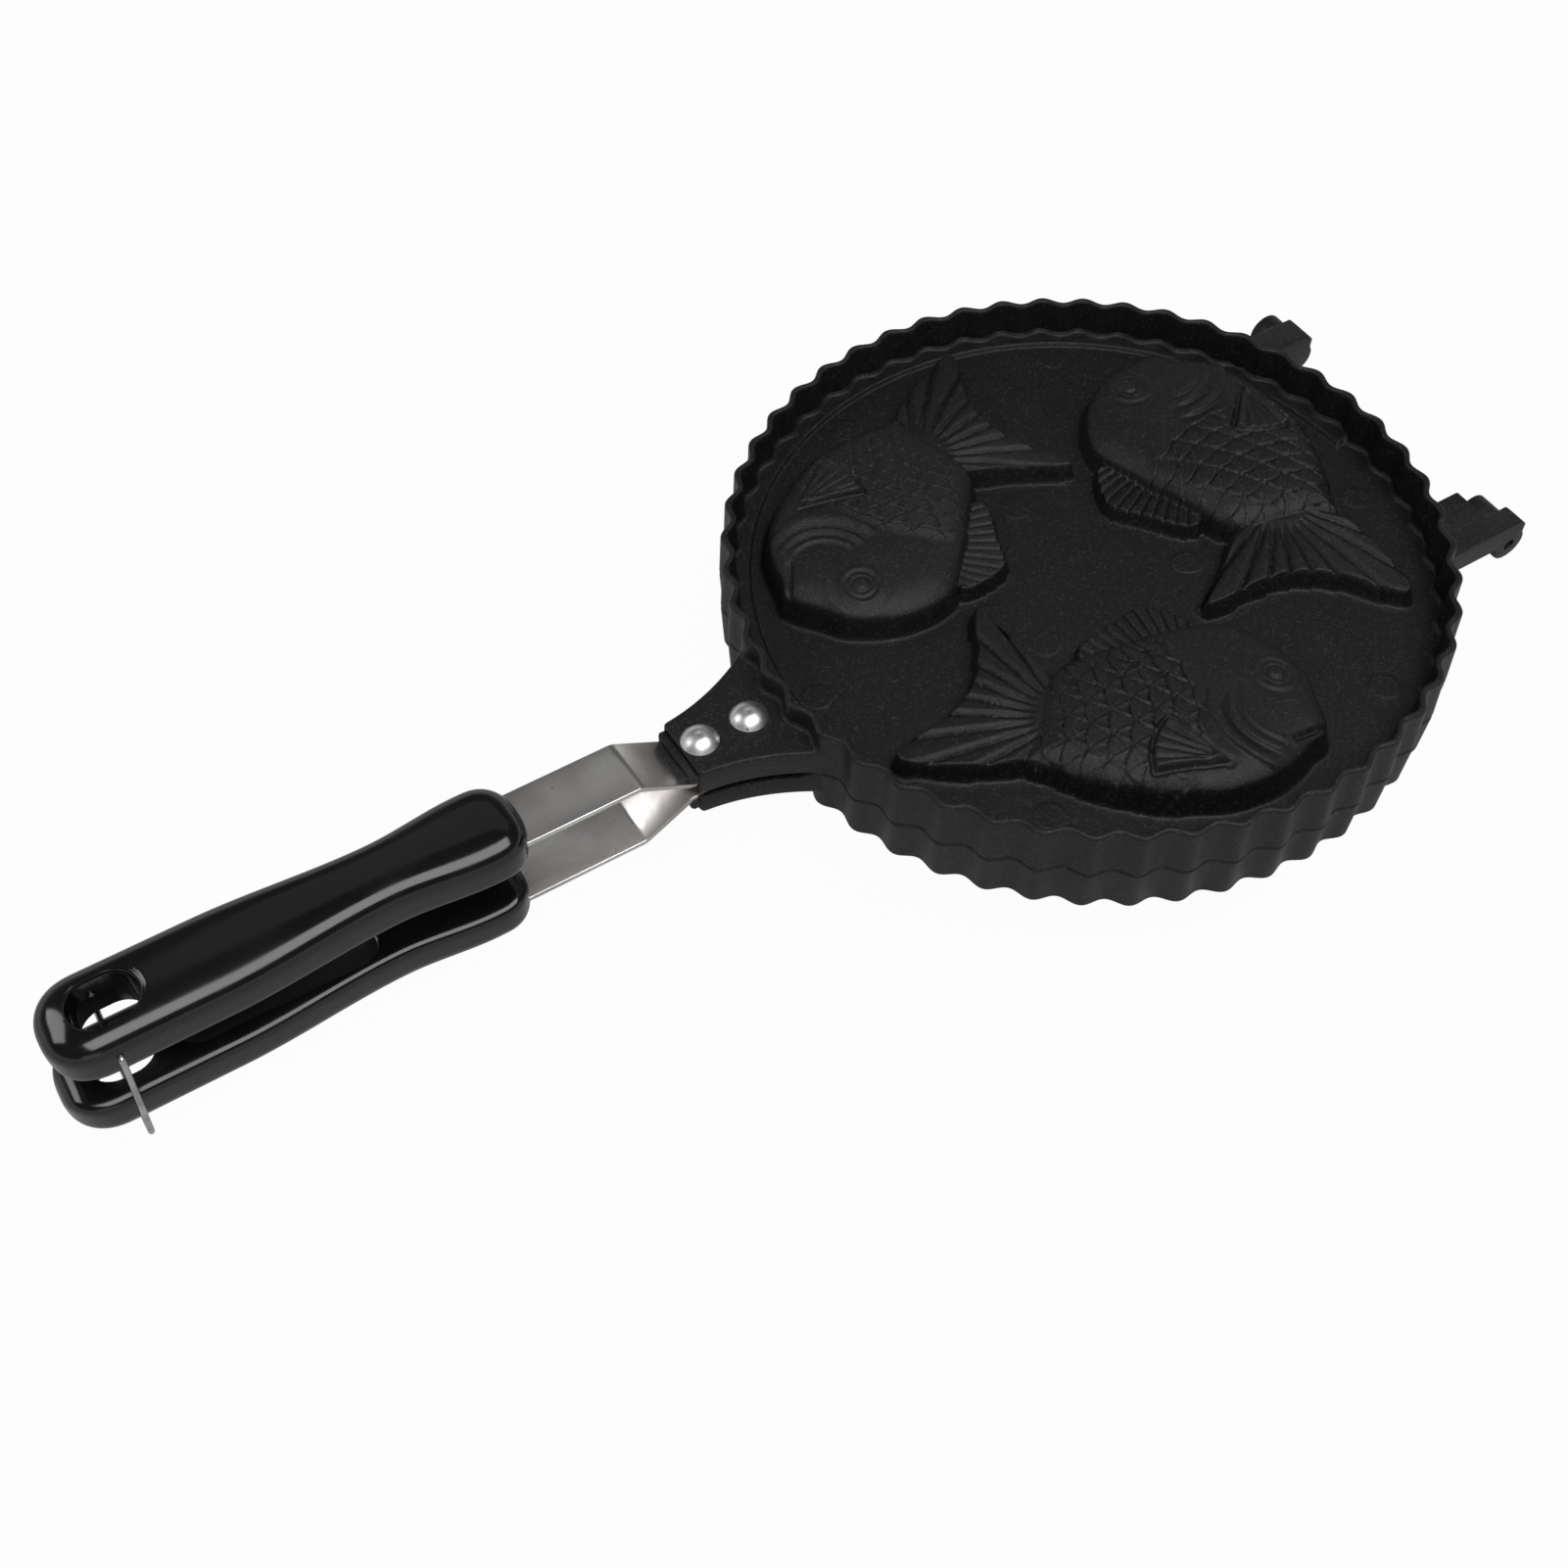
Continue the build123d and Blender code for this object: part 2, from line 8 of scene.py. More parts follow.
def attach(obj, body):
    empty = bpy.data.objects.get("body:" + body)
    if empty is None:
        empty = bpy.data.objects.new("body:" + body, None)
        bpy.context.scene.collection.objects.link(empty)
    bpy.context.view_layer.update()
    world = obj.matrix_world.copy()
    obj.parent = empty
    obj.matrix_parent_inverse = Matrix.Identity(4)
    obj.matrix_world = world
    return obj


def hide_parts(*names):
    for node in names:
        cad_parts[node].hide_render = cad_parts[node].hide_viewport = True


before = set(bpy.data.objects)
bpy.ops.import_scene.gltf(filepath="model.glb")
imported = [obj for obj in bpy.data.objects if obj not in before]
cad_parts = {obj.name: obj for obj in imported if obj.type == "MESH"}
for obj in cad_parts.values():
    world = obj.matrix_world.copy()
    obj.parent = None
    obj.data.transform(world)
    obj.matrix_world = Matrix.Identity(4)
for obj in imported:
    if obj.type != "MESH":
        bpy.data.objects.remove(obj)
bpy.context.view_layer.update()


# ---- Camera -----------------------------------------------------------------------------------
# The object is seen from above its handle and a little from its near side, about half a metre off.
# The rows are the picture's right, its down and the line of sight.
eye_place = np.array([-265.620, -273.712, 420.454])
eye_rows = np.array([
    [0.851271, -0.524726, 0.000929],
    [-0.421000, -0.684050, -0.595680],
    [0.313205, 0.506694, -0.803221]])
camera_data = bpy.data.cameras.new("camera")
camera_data.lens = 45.631
camera_data.sensor_width = 36.0
camera_data.clip_start = 0.01
camera_data.clip_end = 40.0
camera = bpy.data.objects.new("camera", camera_data)
bpy.context.scene.collection.objects.link(camera)
camera_matrix = np.eye(4)
camera_matrix[:3, 0] = eye_rows[0]
camera_matrix[:3, 1] = -eye_rows[1]
camera_matrix[:3, 2] = -eye_rows[2]
camera_matrix[:3, 3] = eye_place / 1000
camera.matrix_world = Matrix(camera_matrix.tolist())
bpy.context.scene.camera = camera
bpy.context.scene.view_settings.view_transform = "Standard"


# ---- Cast halves: their coating ---------------------------------------------------------------
# Two aluminium die castings under a black, slightly rough non-stick coating. The coating is matt,
# and tiny grains in it catch the light. Fine sand-like texture covers every cast surface.

def add_node(tree, kind, settings=(), **values):
    """Adds a node, sets its properties, and sets its inputs by name, with _ for a space."""
    node = tree.nodes.new(kind)
    for key, value in dict(settings).items():
        setattr(node, key, value)
    for key, value in values.items():
        node.inputs[key.replace("_", " ")].default_value = value
    return node


def new_group(name, inputs, outputs):
    """A node group with a float socket for each name, and its input and output nodes."""
    tree = bpy.data.node_groups.new(name, "ShaderNodeTree")
    for label, value in inputs.items():
        socket = tree.interface.new_socket(label, in_out="INPUT", socket_type="NodeSocketFloat")
        socket.default_value = value
    for label in outputs:
        tree.interface.new_socket(label, in_out="OUTPUT", socket_type="NodeSocketFloat")
    return tree, tree.nodes.new("NodeGroupInput"), tree.nodes.new("NodeGroupOutput")


def join(tree, *pairs):
    """Links each output to the input that stands beside it."""
    for source, target in pairs:
        tree.links.new(source, target)


def mix_colours(tree, first, second):
    """Adds a mix of two colours: input 0 is its share, inputs 6 and 7 the colours, output 2 the mix."""
    node = add_node(tree, "ShaderNodeMix", {"data_type": "RGBA"})
    node.inputs[6].default_value = (*first, 1)
    node.inputs[7].default_value = (*second, 1)
    return node


def new_material(name, **values):
    """A material with one Principled BSDF, whose named sockets are set."""
    material = bpy.data.materials.new(name)
    material.use_nodes = True
    shader = material.node_tree.nodes["Principled BSDF"]
    for key, value in values.items():
        shader.inputs[key.replace("_", " ")].default_value = value
    return material, material.node_tree, shader


# Grain: noise on the piece's own coordinates for height, and cells, a few of which are flecks.
grain, grain_in, grain_out = new_group(
    "grain", {"Scale": 2600.0, "Fleck Share": 0.06}, ["Height", "Fleck", "Patch"])
grain_place = add_node(grain, "ShaderNodeTexCoord")
grain_noise = add_node(grain, "ShaderNodeTexNoise", Detail=3.0, Roughness=0.6)
grain_cells = add_node(grain, "ShaderNodeTexVoronoi")
grain_patch = add_node(grain, "ShaderNodeTexNoise", Scale=38.0, Detail=4.0, Roughness=0.6)
grain_split = add_node(grain, "ShaderNodeSeparateColor")
grain_limit = add_node(grain, "ShaderNodeMath", {"operation": "LESS_THAN"})
join(grain,
     (grain_place.outputs["Object"], grain_noise.inputs["Vector"]),
     (grain_place.outputs["Object"], grain_cells.inputs["Vector"]),
     (grain_place.outputs["Object"], grain_patch.inputs["Vector"]),
     (grain_in.outputs["Scale"], grain_noise.inputs["Scale"]),
     (grain_in.outputs["Scale"], grain_cells.inputs["Scale"]),
     (grain_cells.outputs["Color"], grain_split.inputs[0]),
     (grain_split.outputs[0], grain_limit.inputs[0]),
     (grain_in.outputs["Fleck Share"], grain_limit.inputs[1]),
     (grain_noise.outputs[0], grain_out.inputs["Height"]),
     (grain_limit.outputs[0], grain_out.inputs["Fleck"]),
     (grain_patch.outputs[0], grain_out.inputs["Patch"]))


def coating(name, tone, smooth, rough, depth, fleck_share):
    """Black coating: flecks mix a lighter tone in, patches vary the roughness, grain gives a bump."""
    material, tree, shader = new_material(name, Specular_IOR_Level=0.30)
    texture = add_node(tree, "ShaderNodeGroup", {"node_tree": grain}, Scale=2400.0, Fleck_Share=fleck_share)
    colour = mix_colours(tree, (tone, tone, tone * 1.02), (tone * 4.5,) * 3)
    gloss = add_node(tree, "ShaderNodeMapRange", From_Min=0.3, From_Max=0.7, To_Min=smooth, To_Max=rough)
    bump = add_node(tree, "ShaderNodeBump", Strength=0.7, Distance=depth)
    join(tree,
         (texture.outputs["Fleck"], colour.inputs[0]),
         (colour.outputs[2], shader.inputs["Base Color"]),
         (texture.outputs["Patch"], gloss.inputs["Value"]),
         (gloss.outputs[0], shader.inputs["Roughness"]),
         (texture.outputs["Height"], bump.inputs["Height"]),
         (bump.outputs[0], shader.inputs["Normal"]))
    return material


cast_black = coating("cast_black", tone=0.0048, smooth=0.38, rough=0.50, depth=0.00026, fleck_share=0.08)


# ---- Cast halves: fluted wall -----------------------------------------------------------------
# The wall of each casting stands 12.5 mm over the plate and is pressed into fifty flutes. Its rim is
# rounded all over, and the edge at the parting plane is broken, so a fine groove runs round the seam.
# Shapes are worked out in millimetres above the parting plane, and the lower half's are turned over.
parting = 14.75
plate_top = 2.25
pan_radius = 100.0
rim_draft = 0.7
well_radius = 97.3
flute_count = 50
rim_edge = 0.9
seam_edge = 0.9
skirt = 96.8
wall_foot = 1.2


def step(value, start, stop):
    """Smooth step: 0 before start, 1 after stop, 3t^2 - 2t^3 between."""
    t = np.clip((value - start) / (stop - start), 0, 1)
    return t * t * (3 - 2 * t)


def flute(angle):
    """1 in the valleys of the flutes and 0 on their tips: a cosine wave with a valley on the X axis."""
    return (1 + np.cos(flute_count * angle)) / 2


def outer_radius(angle, z):
    """Outer face of the wall: the tips' radius, less the draft, less 2.2 mm of flute."""
    return pan_radius - rim_draft * z / parting - 2.2 * flute(angle)


def inner_radius(angle, z):
    """Inner face of the wall: 97.3 mm at the rim, drafted 0.2 mm in to the plate, less 2 mm of flute."""
    return well_radius - 0.2 * (parting - z) / (parting - plate_top) - 2.0 * flute(angle)


def upright(points):
    """From above the parting plane to the upper half's place."""
    return points + np.array([0, 0, parting])


def turned_over(points):
    """Turned half a turn about the X axis, to the lower half's place."""
    return points * np.array([1, -1, -1]) + np.array([0, 0, parting])


def mirrored(points):
    """Mirrored in the parting plane, as the lower half's fish face the upper ones."""
    return points * np.array([1, 1, -1]) + np.array([0, 0, parting])


def quads_of(rows, columns, wrap_rows, wrap_columns):
    """Indices of the quads of a grid, each corner next to the last, with the ends joined if wrapped."""
    index = np.arange(rows * columns).reshape(rows, columns)
    if wrap_rows:
        index = np.vstack([index, index[:1]])
    if wrap_columns:
        index = np.hstack([index, index[:, :1]])
    return np.stack([index[:-1, :-1], index[1:, :-1], index[1:, 1:], index[:-1, 1:]], -1).reshape(-1, 4)


def cap_rings(grid):
    """The first and last rings of a grid, as the faces that close it."""
    rows, columns = grid.shape[:2]
    return np.arange(columns), (rows - 1) * columns + np.arange(columns)[::-1]


def volume_of(points, faces):
    """Volume inside closed faces: a sixth of the sum of the triple products of each fan of corners."""
    total = 0.0
    for face_set in faces:
        for k in range(1, face_set.shape[1] - 1):
            a, b, c = (points[face_set[:, i]] for i in (0, k, k + 1))
            total += np.einsum("ij,ij->i", a, np.cross(b, c)).sum() / 6
    return total


def build(name, sheets, body, node, slot, material, caps=(), flip=None, sharp=38):
    """One piece from grids of points in millimetres: (points, wrap_rows, wrap_columns) each. Points
    within a tenth of a micrometre are made one, and quads that lose a corner by it become triangles.
    With flip None the piece is closed, and is turned so that its faces point outwards."""
    all_points, all_quads, start = [], [], 0
    for points, wrap_rows, wrap_columns in sheets:
        all_quads.append(quads_of(points.shape[0], points.shape[1], wrap_rows, wrap_columns) + start)
        all_points.append(points.reshape(-1, 3))
        start += points.shape[0] * points.shape[1]
    points = np.vstack(all_points)
    quads = np.vstack(all_quads)
    _, first, same = np.unique(np.round(points * 1e4).astype(np.int64), axis=0,
                               return_index=True, return_inverse=True)
    same = same.reshape(-1)
    points = points[first]
    quads = same[quads]
    lost = quads == np.roll(quads, -1, axis=1)
    triangles = quads[lost.sum(1) == 1][~lost[lost.sum(1) == 1]].reshape(-1, 3)
    quads = quads[lost.sum(1) == 0]
    rings = [same[np.asarray(ring)] for ring in caps]
    if flip is None:
        fans = [quads, triangles] + [ring[None, :] for ring in rings]
        flip = volume_of(points, [f for f in fans if len(f)]) < 0
    faces = quads.tolist() + triangles.tolist() + [ring.tolist() for ring in rings]
    if flip:
        faces = [face[::-1] for face in faces]
    mesh = bpy.data.meshes.new(name)
    mesh.from_pydata((points / 1000).tolist(), [], faces)
    mesh.validate()
    mesh.shade_smooth()
    mesh.set_sharp_from_angle(angle=radians(sharp))
    obj = bpy.data.objects.new(name, mesh)
    bpy.context.scene.collection.objects.link(obj)
    mesh.materials.append(material)
    if body:
        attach(obj, body)
        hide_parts(node)
    return obj


def cast_piece(half, label, sheets, **shape):
    """A piece of the upper or the lower casting, in its coating."""
    return build("%s_pan_%s" % (half, label), sheets, half + "_half", half + "_pan", "coated_casting",
                 cast_black, **shape)


def wall_ring():
    """Rows round the pan, columns round the wall's section: the seam edge and the rim are quarter
    circles, and the faces between them follow the outer and inner radius at their own level."""
    angle = np.linspace(0, 2 * np.pi, flute_count * 14, endpoint=False)[:, None]
    turn = np.linspace(0, np.pi / 2, 6)[None, :]
    low = seam_edge * (1 - np.cos(turn)) + 0 * angle
    high = parting - rim_edge * (1 - np.sin(turn)) + 0 * angle
    back = high[:, ::-1]
    wall_out = np.linspace(wall_foot, 13.4, 7)[None, :] + 0 * angle
    wall_in = np.linspace(13.2, wall_foot, 8)[None, :] + 0 * angle
    level = np.hstack([0 * angle, low, wall_out, high, back, wall_in, wall_foot + 0 * angle])
    radius = np.hstack([
        skirt + 0 * angle,
        outer_radius(angle, low) - seam_edge * (1 - np.sin(turn)),
        outer_radius(angle, wall_out),
        outer_radius(angle, high) - rim_edge * (1 - np.cos(turn)),
        inner_radius(angle, back) + rim_edge * (1 - np.cos(turn[:, ::-1])),
        inner_radius(angle, wall_in),
        skirt + 0 * angle])
    return np.stack([radius * np.cos(angle), radius * np.sin(angle), level], -1)


ring_points = wall_ring()
for half, place in (("upper", upright), ("lower", turned_over)):
    cast_piece(half, "wall", [(place(ring_points), True, True)], sharp=60)


# ---- Cast halves: plates with three fish ------------------------------------------------------
# The plate of each casting is pressed up into three fish, with the same wall thickness all over, so
# that each fish outside is a mould inside. The fish are modelled as carved dies leave them: steep
# sides, a scaled flank, a fan-shaped side fin, a gill cover, an eye and a rayed tail and back fin.
body_outline_points = [
    (-56.2, -48.6), (-52.6, -54.0), (-48.7, -60.8), (-42.2, -69.0), (-34.0, -76.9), (-25.6, -82.3),
    (-17.2, -86.4), (-5.2, -88.4), (3.6, -87.1), (9.0, -85.2), (13.5, -84.6), (16.6, -82.6), (19.0, -78.9),
    (21.1, -73.5), (23.8, -67.6), (24.6, -61.1), (23.8, -52.3), (20.8, -44.4), (16.3, -38.1), (11.3, -34.8),
    (-2.0, -31.5), (-11.9, -30.0), (-22.8, -28.2), (-30.9, -27.6), (-38.5, -32.0), (-45.5, -39.5),
    (-51.5, -44.5)]
tail_outline_points = [
    (-32.0, -30.0), (-33.2, -14.6), (-33.6, -1.6), (-35.0, 1.5), (-36.6, 1.6), (-38.0, 0.2), (-40.3, -2.9),
    (-43.6, -8.8), (-47.5, -14.6), (-51.3, -18.8), (-55.8, -21.9), (-61.3, -24.4), (-67.0, -25.8),
    (-74.4, -26.5), (-80.8, -27.6), (-82.9, -29.7), (-82.4, -32.6), (-79.4, -35.6), (-72.7, -40.9),
    (-63.4, -46.3), (-54.0, -49.5), (-42.0, -44.0)]
fin_outline_points = [
    (11.3, -35.4), (3.2, -21.4), (-9.0, -22.0), (-21.0, -23.7), (-22.9, -30.5), (-8.0, -38.0)]
flank = np.array([0.863, -0.507])
belly_to_back = np.array([0.507, 0.863])
tail_joint = np.array([-43.5, -38.1])
tail_root = (-38.0, -44.0)
back_fin_root = (-6.0, -62.0)
side_fin_root = (-14.9, -78.2)
side_fin_start = 104.0
side_fin_stop = 157.0
gill_middle = (9.0, -71.5)
eye_middle = (13.6, -62.0)
mouth_corner = (5.0, -80.6)
mouth_length = 13.0
ledge_rise = 1.3
foot_fillet = 1.3


def curve_through(points, pieces):
    """Closed Catmull-Rom curve: each span is the cubic with the slope of its neighbours' chord."""
    p = np.asarray(points, float)
    a, b, c, d = np.roll(p, 1, 0), p, np.roll(p, -1, 0), np.roll(p, -2, 0)
    t = (np.arange(pieces) / pieces)[:, None, None]
    q = 0.5 * (2 * b + (c - a) * t + (2 * a - 5 * b + 4 * c - d) * t ** 2 + (3 * b - a - 3 * c + d) * t ** 3)
    return q.transpose(1, 0, 2).reshape(-1, 2)


def depth_inside(x, y, outline):
    """Distance to the nearest edge of a closed outline, positive inside by the even-odd rule."""
    nearest = np.full(x.shape, 1e9)
    inside = np.zeros(x.shape, bool)
    for (x0, y0), (x1, y1) in zip(outline, np.roll(outline, -1, 0)):
        dx, dy = x1 - x0, y1 - y0
        t = np.clip(((x - x0) * dx + (y - y0) * dy) / (dx * dx + dy * dy), 0, 1)
        nearest = np.minimum(nearest, (x0 + t * dx - x) ** 2 + (y0 + t * dy - y) ** 2)
        if dy != 0:
            inside ^= ((y0 > y) != (y1 > y)) & (x < x0 + (y - y0) * dx / dy)
    return np.where(inside, 1, -1) * np.sqrt(nearest)


def side_wall(depth, slope):
    """Height of a drafted side: slope times the depth, eased into the floor."""
    shifted = depth - 0.1
    return slope * 0.5 * (shifted + np.sqrt(shifted ** 2 + 0.07))


def lower_of(a, b, soft):
    """Soft minimum: half the sum less half the root of the squared difference plus soft squared."""
    return 0.5 * (a + b - np.sqrt((a - b) ** 2 + soft ** 2))


def ridge(distance, width):
    """Rounded ridge: a bell curve of the distance from its middle."""
    return np.exp(-(distance / width) ** 2)


def fan(x, y, root, first, last, count):
    """Place in a fan of rays: how far across its ray, from 0 to 1, and the distance from the root."""
    angle = np.degrees(np.arctan2(y - root[1], x - root[0])) % 360
    part = (angle - first) / (last - first) * count
    return part - np.floor(part), np.hypot(x - root[0], y - root[1])


def from_ray_edge(across, reach, ray):
    """Distance from the nearer edge of a ray that spans so many degrees."""
    return np.minimum(across, 1 - across) * reach * radians(ray)


def scales(along, across):
    """Overlapping scales: discs in staggered rows, each highest at its free edge toward the tail. The
    height falls with the distance from the edge of the disc that lies on top, the nearest one behind."""
    pitch, width, radius = 5.6, 7.5, 6.1
    found = np.full(along.shape, 99.0)
    base = np.floor(along / pitch)
    for k in range(-1, 4):
        row = base + k
        shift = 0.5 * (row % 2)
        for j in (-1, 0, 1):
            middle = (np.round(across / width - shift) + shift + j) * width
            reach = radius ** 2 - (across - middle) ** 2
            behind = along - (row * pitch - np.sqrt(np.maximum(reach, 0)))
            found = np.where((reach > 0) & (behind >= 0), np.minimum(found, behind), found)
    found = np.minimum(found, pitch * 1.4)
    return (1 - found / (pitch * 1.4)) * step(found, 0, 0.5)


def fish_height(x, y, inset):
    """Height of one fish over the plate. Body, tail and back fin each rise from their own outline by a
    drafted side to a crowned top, the highest counts, and the carving is added to the crown."""
    body = depth_inside(x, y, curve_through(body_outline_points, 4)) - inset
    tail = depth_inside(x, y, curve_through(tail_outline_points, 4)) - inset
    fin = depth_inside(x, y, curve_through(fin_outline_points, 5)) - inset
    along = (x - tail_joint[0]) * flank[0] + (y - tail_joint[1]) * flank[1]
    across = (x - tail_joint[0]) * belly_to_back[0] + (y - tail_joint[1]) * belly_to_back[1]

    side_across, side_reach = fan(x, y, side_fin_root, side_fin_start, side_fin_stop, 5)
    swing = np.degrees(np.arctan2(y - side_fin_root[1], x - side_fin_root[0])) % 360
    swing = np.radians(np.clip(swing, 60, 200))
    edge_high = side_reach * np.sin(swing - radians(side_fin_start))
    edge_low = side_reach * np.sin(radians(side_fin_stop) - swing)
    side_depth = np.minimum(np.minimum(edge_high, edge_low), 18.8 - side_reach)

    gill_reach = np.hypot(x - gill_middle[0], y - gill_middle[1])
    gill_turn = np.degrees(np.arctan2(y - gill_middle[1], gill_middle[0] - x))
    gill_span = step(gill_turn, -62, -40) * (1 - step(gill_turn, 32, 52))
    gill = gill_span * (1.2 * step(20.4 - gill_reach, 0, 0.8) * (1 - step(20.4 - gill_reach, 0.8, 5.0))
                        + 0.9 * step(15.6 - gill_reach, 0, 0.8) * (1 - step(15.6 - gill_reach, 0.8, 4.0))
                        + 0.6 * ridge(gill_reach - 11.2, 0.8))

    eye_reach = np.hypot(x - eye_middle[0], y - eye_middle[1])
    eye = (0.5 * ridge(eye_reach - 5.4, 0.75) + 0.3 * ridge(eye_reach - 3.3, 0.5)
           + 0.8 * step(2.6 - eye_reach, 0, 1.4) + 0.2 * ridge(eye_reach - 9.2, 0.9) * step(x, 6, 12))

    mouth_place = np.clip((x - mouth_corner[0]) / mouth_length, 0, 1)
    mouth_x = mouth_corner[0] + mouth_length * mouth_place
    mouth_y = mouth_corner[1] - 0.6 * mouth_place
    mouth = 1.3 * ridge(np.hypot(x - mouth_x, y - mouth_y), 0.8)

    scaled = (step(along, -9, -5) * (1 - step(along + 0.010 * (across + 4) ** 2, 38, 43))
              * (1 - step(side_depth, -1.6, -0.2)))
    flake = scales(along + 0.012 * (across + 4) ** 2, across) * scaled

    crown = (8.7 + 3.3 * step(along, -6, 26) - 1.5 * step(along, 48, 78) - (across + 4) ** 2 / 420
             + 1.0 * flake + gill * (1 - step(side_depth, -1, 0)) + eye - mouth)
    strip = 1 - ridge(from_ray_edge(side_across, side_reach, 10.6), 0.42)
    crown += step(side_depth, -0.2, 0.5) * (0.55 + 0.5 * strip * step(side_reach, 3, 6)
                                            + 0.7 * ridge(edge_high - 1.2, 0.9)
                                            + 0.7 * ridge(edge_low - 1.2, 0.9))
    crown -= 0.5 * ridge(side_depth + 0.6, 0.6)
    shoulder = 1 - np.clip(1 - (body + 0.4) / 12.5, 0, 1) ** 2.7
    body_top = crown * np.maximum(shoulder, 0.02) ** (1 / 2.7)
    jag = 0.75 * (flake - 0.4) * step(10 - body, 0, 6) * (inset == 0)
    high = lower_of(side_wall(body + jag, 4.6), body_top, 0.7)
    high = np.where(body < -1.5, 0, high)

    across_ray, reach = fan(x, y, tail_root, 84.0, 168.0, 7)
    groove = ridge(from_ray_edge(across_ray, reach, 12.0), 0.95) * step(reach, 8, 13)
    jag = (across_ray - 0.5) * 0.8 * step(reach, 24, 30)
    tail_top = 6.9 + 0.75 * (across_ray - 0.5) * step(reach, 12, 22) - 1.0 * groove
    tail_top -= 0.035 * np.maximum(reach - 20, 0)
    tail_top -= 0.5 * step(1.6 - (tail + 0.4), 0, 1.6)
    tail_high = lower_of(side_wall(tail + jag * (inset == 0), 4.4), tail_top, 0.5)
    tail_high = np.where(tail < -1.5, 0, tail_high)

    across_ray, reach = fan(x, y, back_fin_root, 62.0, 116.0, 11)
    groove = ridge(from_ray_edge(across_ray, reach, 4.9), 0.5)
    jag = (across_ray - 0.5) * 0.7 * step(reach, 34, 37)
    fin_top = 5.1 + 0.5 * (across_ray - 0.5) - 0.5 * groove
    fin_high = lower_of(side_wall(fin + jag * (inset == 0), 4.0), fin_top, 0.4)
    fin_high = np.where(fin < -1.5, 0, fin_high)
    return np.maximum(np.maximum(high, tail_high), np.maximum(fin_high, 0))


def plate_grid(ring_steps, turn_steps):
    """Radius and angle of one third of the plate, from its middle to its edge. The thirds meet along
    a line that runs between two fish: 66.5 degrees below the X axis near the middle, 62 further out."""
    inner = np.linspace(0, 18, max(ring_steps // 16, 6), endpoint=False)
    middle = np.linspace(18, 89.5, ring_steps - len(inner) - ring_steps // 9, endpoint=False)
    outer = np.linspace(89.5, skirt, ring_steps - len(inner) - len(middle))
    radius = np.concatenate([inner, middle, outer])[:, None]
    edge = -66.5 + 4.5 * step(radius, 37, 47)
    angle = np.radians(edge - 120 + 120 * np.linspace(0, 1, turn_steps)[None, :])
    return radius + 0 * angle, angle + 0 * radius


def half_ring(radius, y, inner, outer, side, end):
    """1 on a flat ring between two radii, on the side of the X axis that side names."""
    return step(radius, inner - 0.3, inner + 0.3) * (1 - step(radius, outer - 0.3, outer + 0.3)) \
        * step(y * side, end, end + 0.6)


def ejector_marks(radius, angle):
    """The faint round marks of the ejector pins: flat discs 0.16 mm proud, each made three times."""
    marks = np.zeros(radius.shape)
    for x, y, size in ((-24.6, -16.5, 3.6), (-57.0, -62.5, 3.9), (25.8, -12.6, 3.7), (-86.1, 0.4, 3.9)):
        for turn in (0, 120, 240):
            cx = x * np.cos(radians(turn)) - y * np.sin(radians(turn))
            cy = x * np.sin(radians(turn)) + y * np.cos(radians(turn))
            far = np.hypot(radius * np.cos(angle) - cx, radius * np.sin(angle) - cy)
            marks = np.maximum(marks, 0.16 * step(size - far, -0.15, 0.25) + 0.1 * ridge(far - size, 0.3))
    return marks


def outer_sheet(radius, angle, height, side):
    """Outside of one third: the plate, its fish, the ledge of the half ring and the fillet at the wall."""
    wave = inner_radius(angle, plate_top)
    spread = radius + (wave + 0.25 - skirt) * step(radius, 91.5, skirt)
    y = spread * np.sin(angle)
    z = plate_top + height + ejector_marks(spread, angle) * (height < 0.05)
    z = z + ledge_rise * step(spread, 91.0, 91.8) * step(y * side, -0.2, 0.8)
    gap = np.clip(wave - spread, 0, foot_fillet)
    z = z + foot_fillet - np.sqrt(np.maximum(foot_fillet ** 2 - (foot_fillet - gap) ** 2, 0))
    return np.stack([spread * np.cos(angle), y, z], -1)


def mould_sheet(radius, angle, hollow, side):
    """Inside of one third: the parting face, the moulds, and the groove or the rib of the half ring."""
    y = radius * np.sin(angle)
    z = hollow + 1.3 * half_ring(radius, y, 90.5, 96.3, side, 0.0) \
        - 1.0 * half_ring(radius, y, 90.8, 96.0, -side, 1.5)
    return np.stack([radius * np.cos(angle), y, z], -1)


fine_radius, fine_angle = plate_grid(238, 398)
back_radius, back_angle = plate_grid(170, 290)
mould_radius, mould_angle = plate_grid(150, 250)
fine_fish = fish_height(fine_radius * np.cos(fine_angle), fine_radius * np.sin(fine_angle), 0.0)
back_fish = fish_height(back_radius * np.cos(back_angle), back_radius * np.sin(back_angle), 0.0)
mould_fish = fish_height(mould_radius * np.cos(mould_angle), mould_radius * np.sin(mould_angle), 2.0)
mould_fish = mould_fish + 0.25 * step(mould_fish, 0.2, 1.0)
for third in range(3):
    turn = radians(120 * third)
    cast_piece("upper", "fish_%d" % (third + 1),
               [(upright(outer_sheet(fine_radius, fine_angle + turn, fine_fish, 1)), False, False)],
               flip=False, sharp=75)
    cast_piece("lower", "fish_%d" % (third + 1),
               [(mirrored(outer_sheet(back_radius, back_angle + turn, back_fish, -1)), False, False)],
               flip=True, sharp=75)
    cast_piece("upper", "mould_%d" % (third + 1),
               [(upright(mould_sheet(mould_radius, mould_angle + turn, mould_fish, 1)), False, False)],
               flip=True, sharp=75)
    cast_piece("lower", "mould_%d" % (third + 1),
               [(mirrored(mould_sheet(mould_radius, mould_angle + turn, mould_fish, -1)), False, False)],
               flip=False, sharp=75)


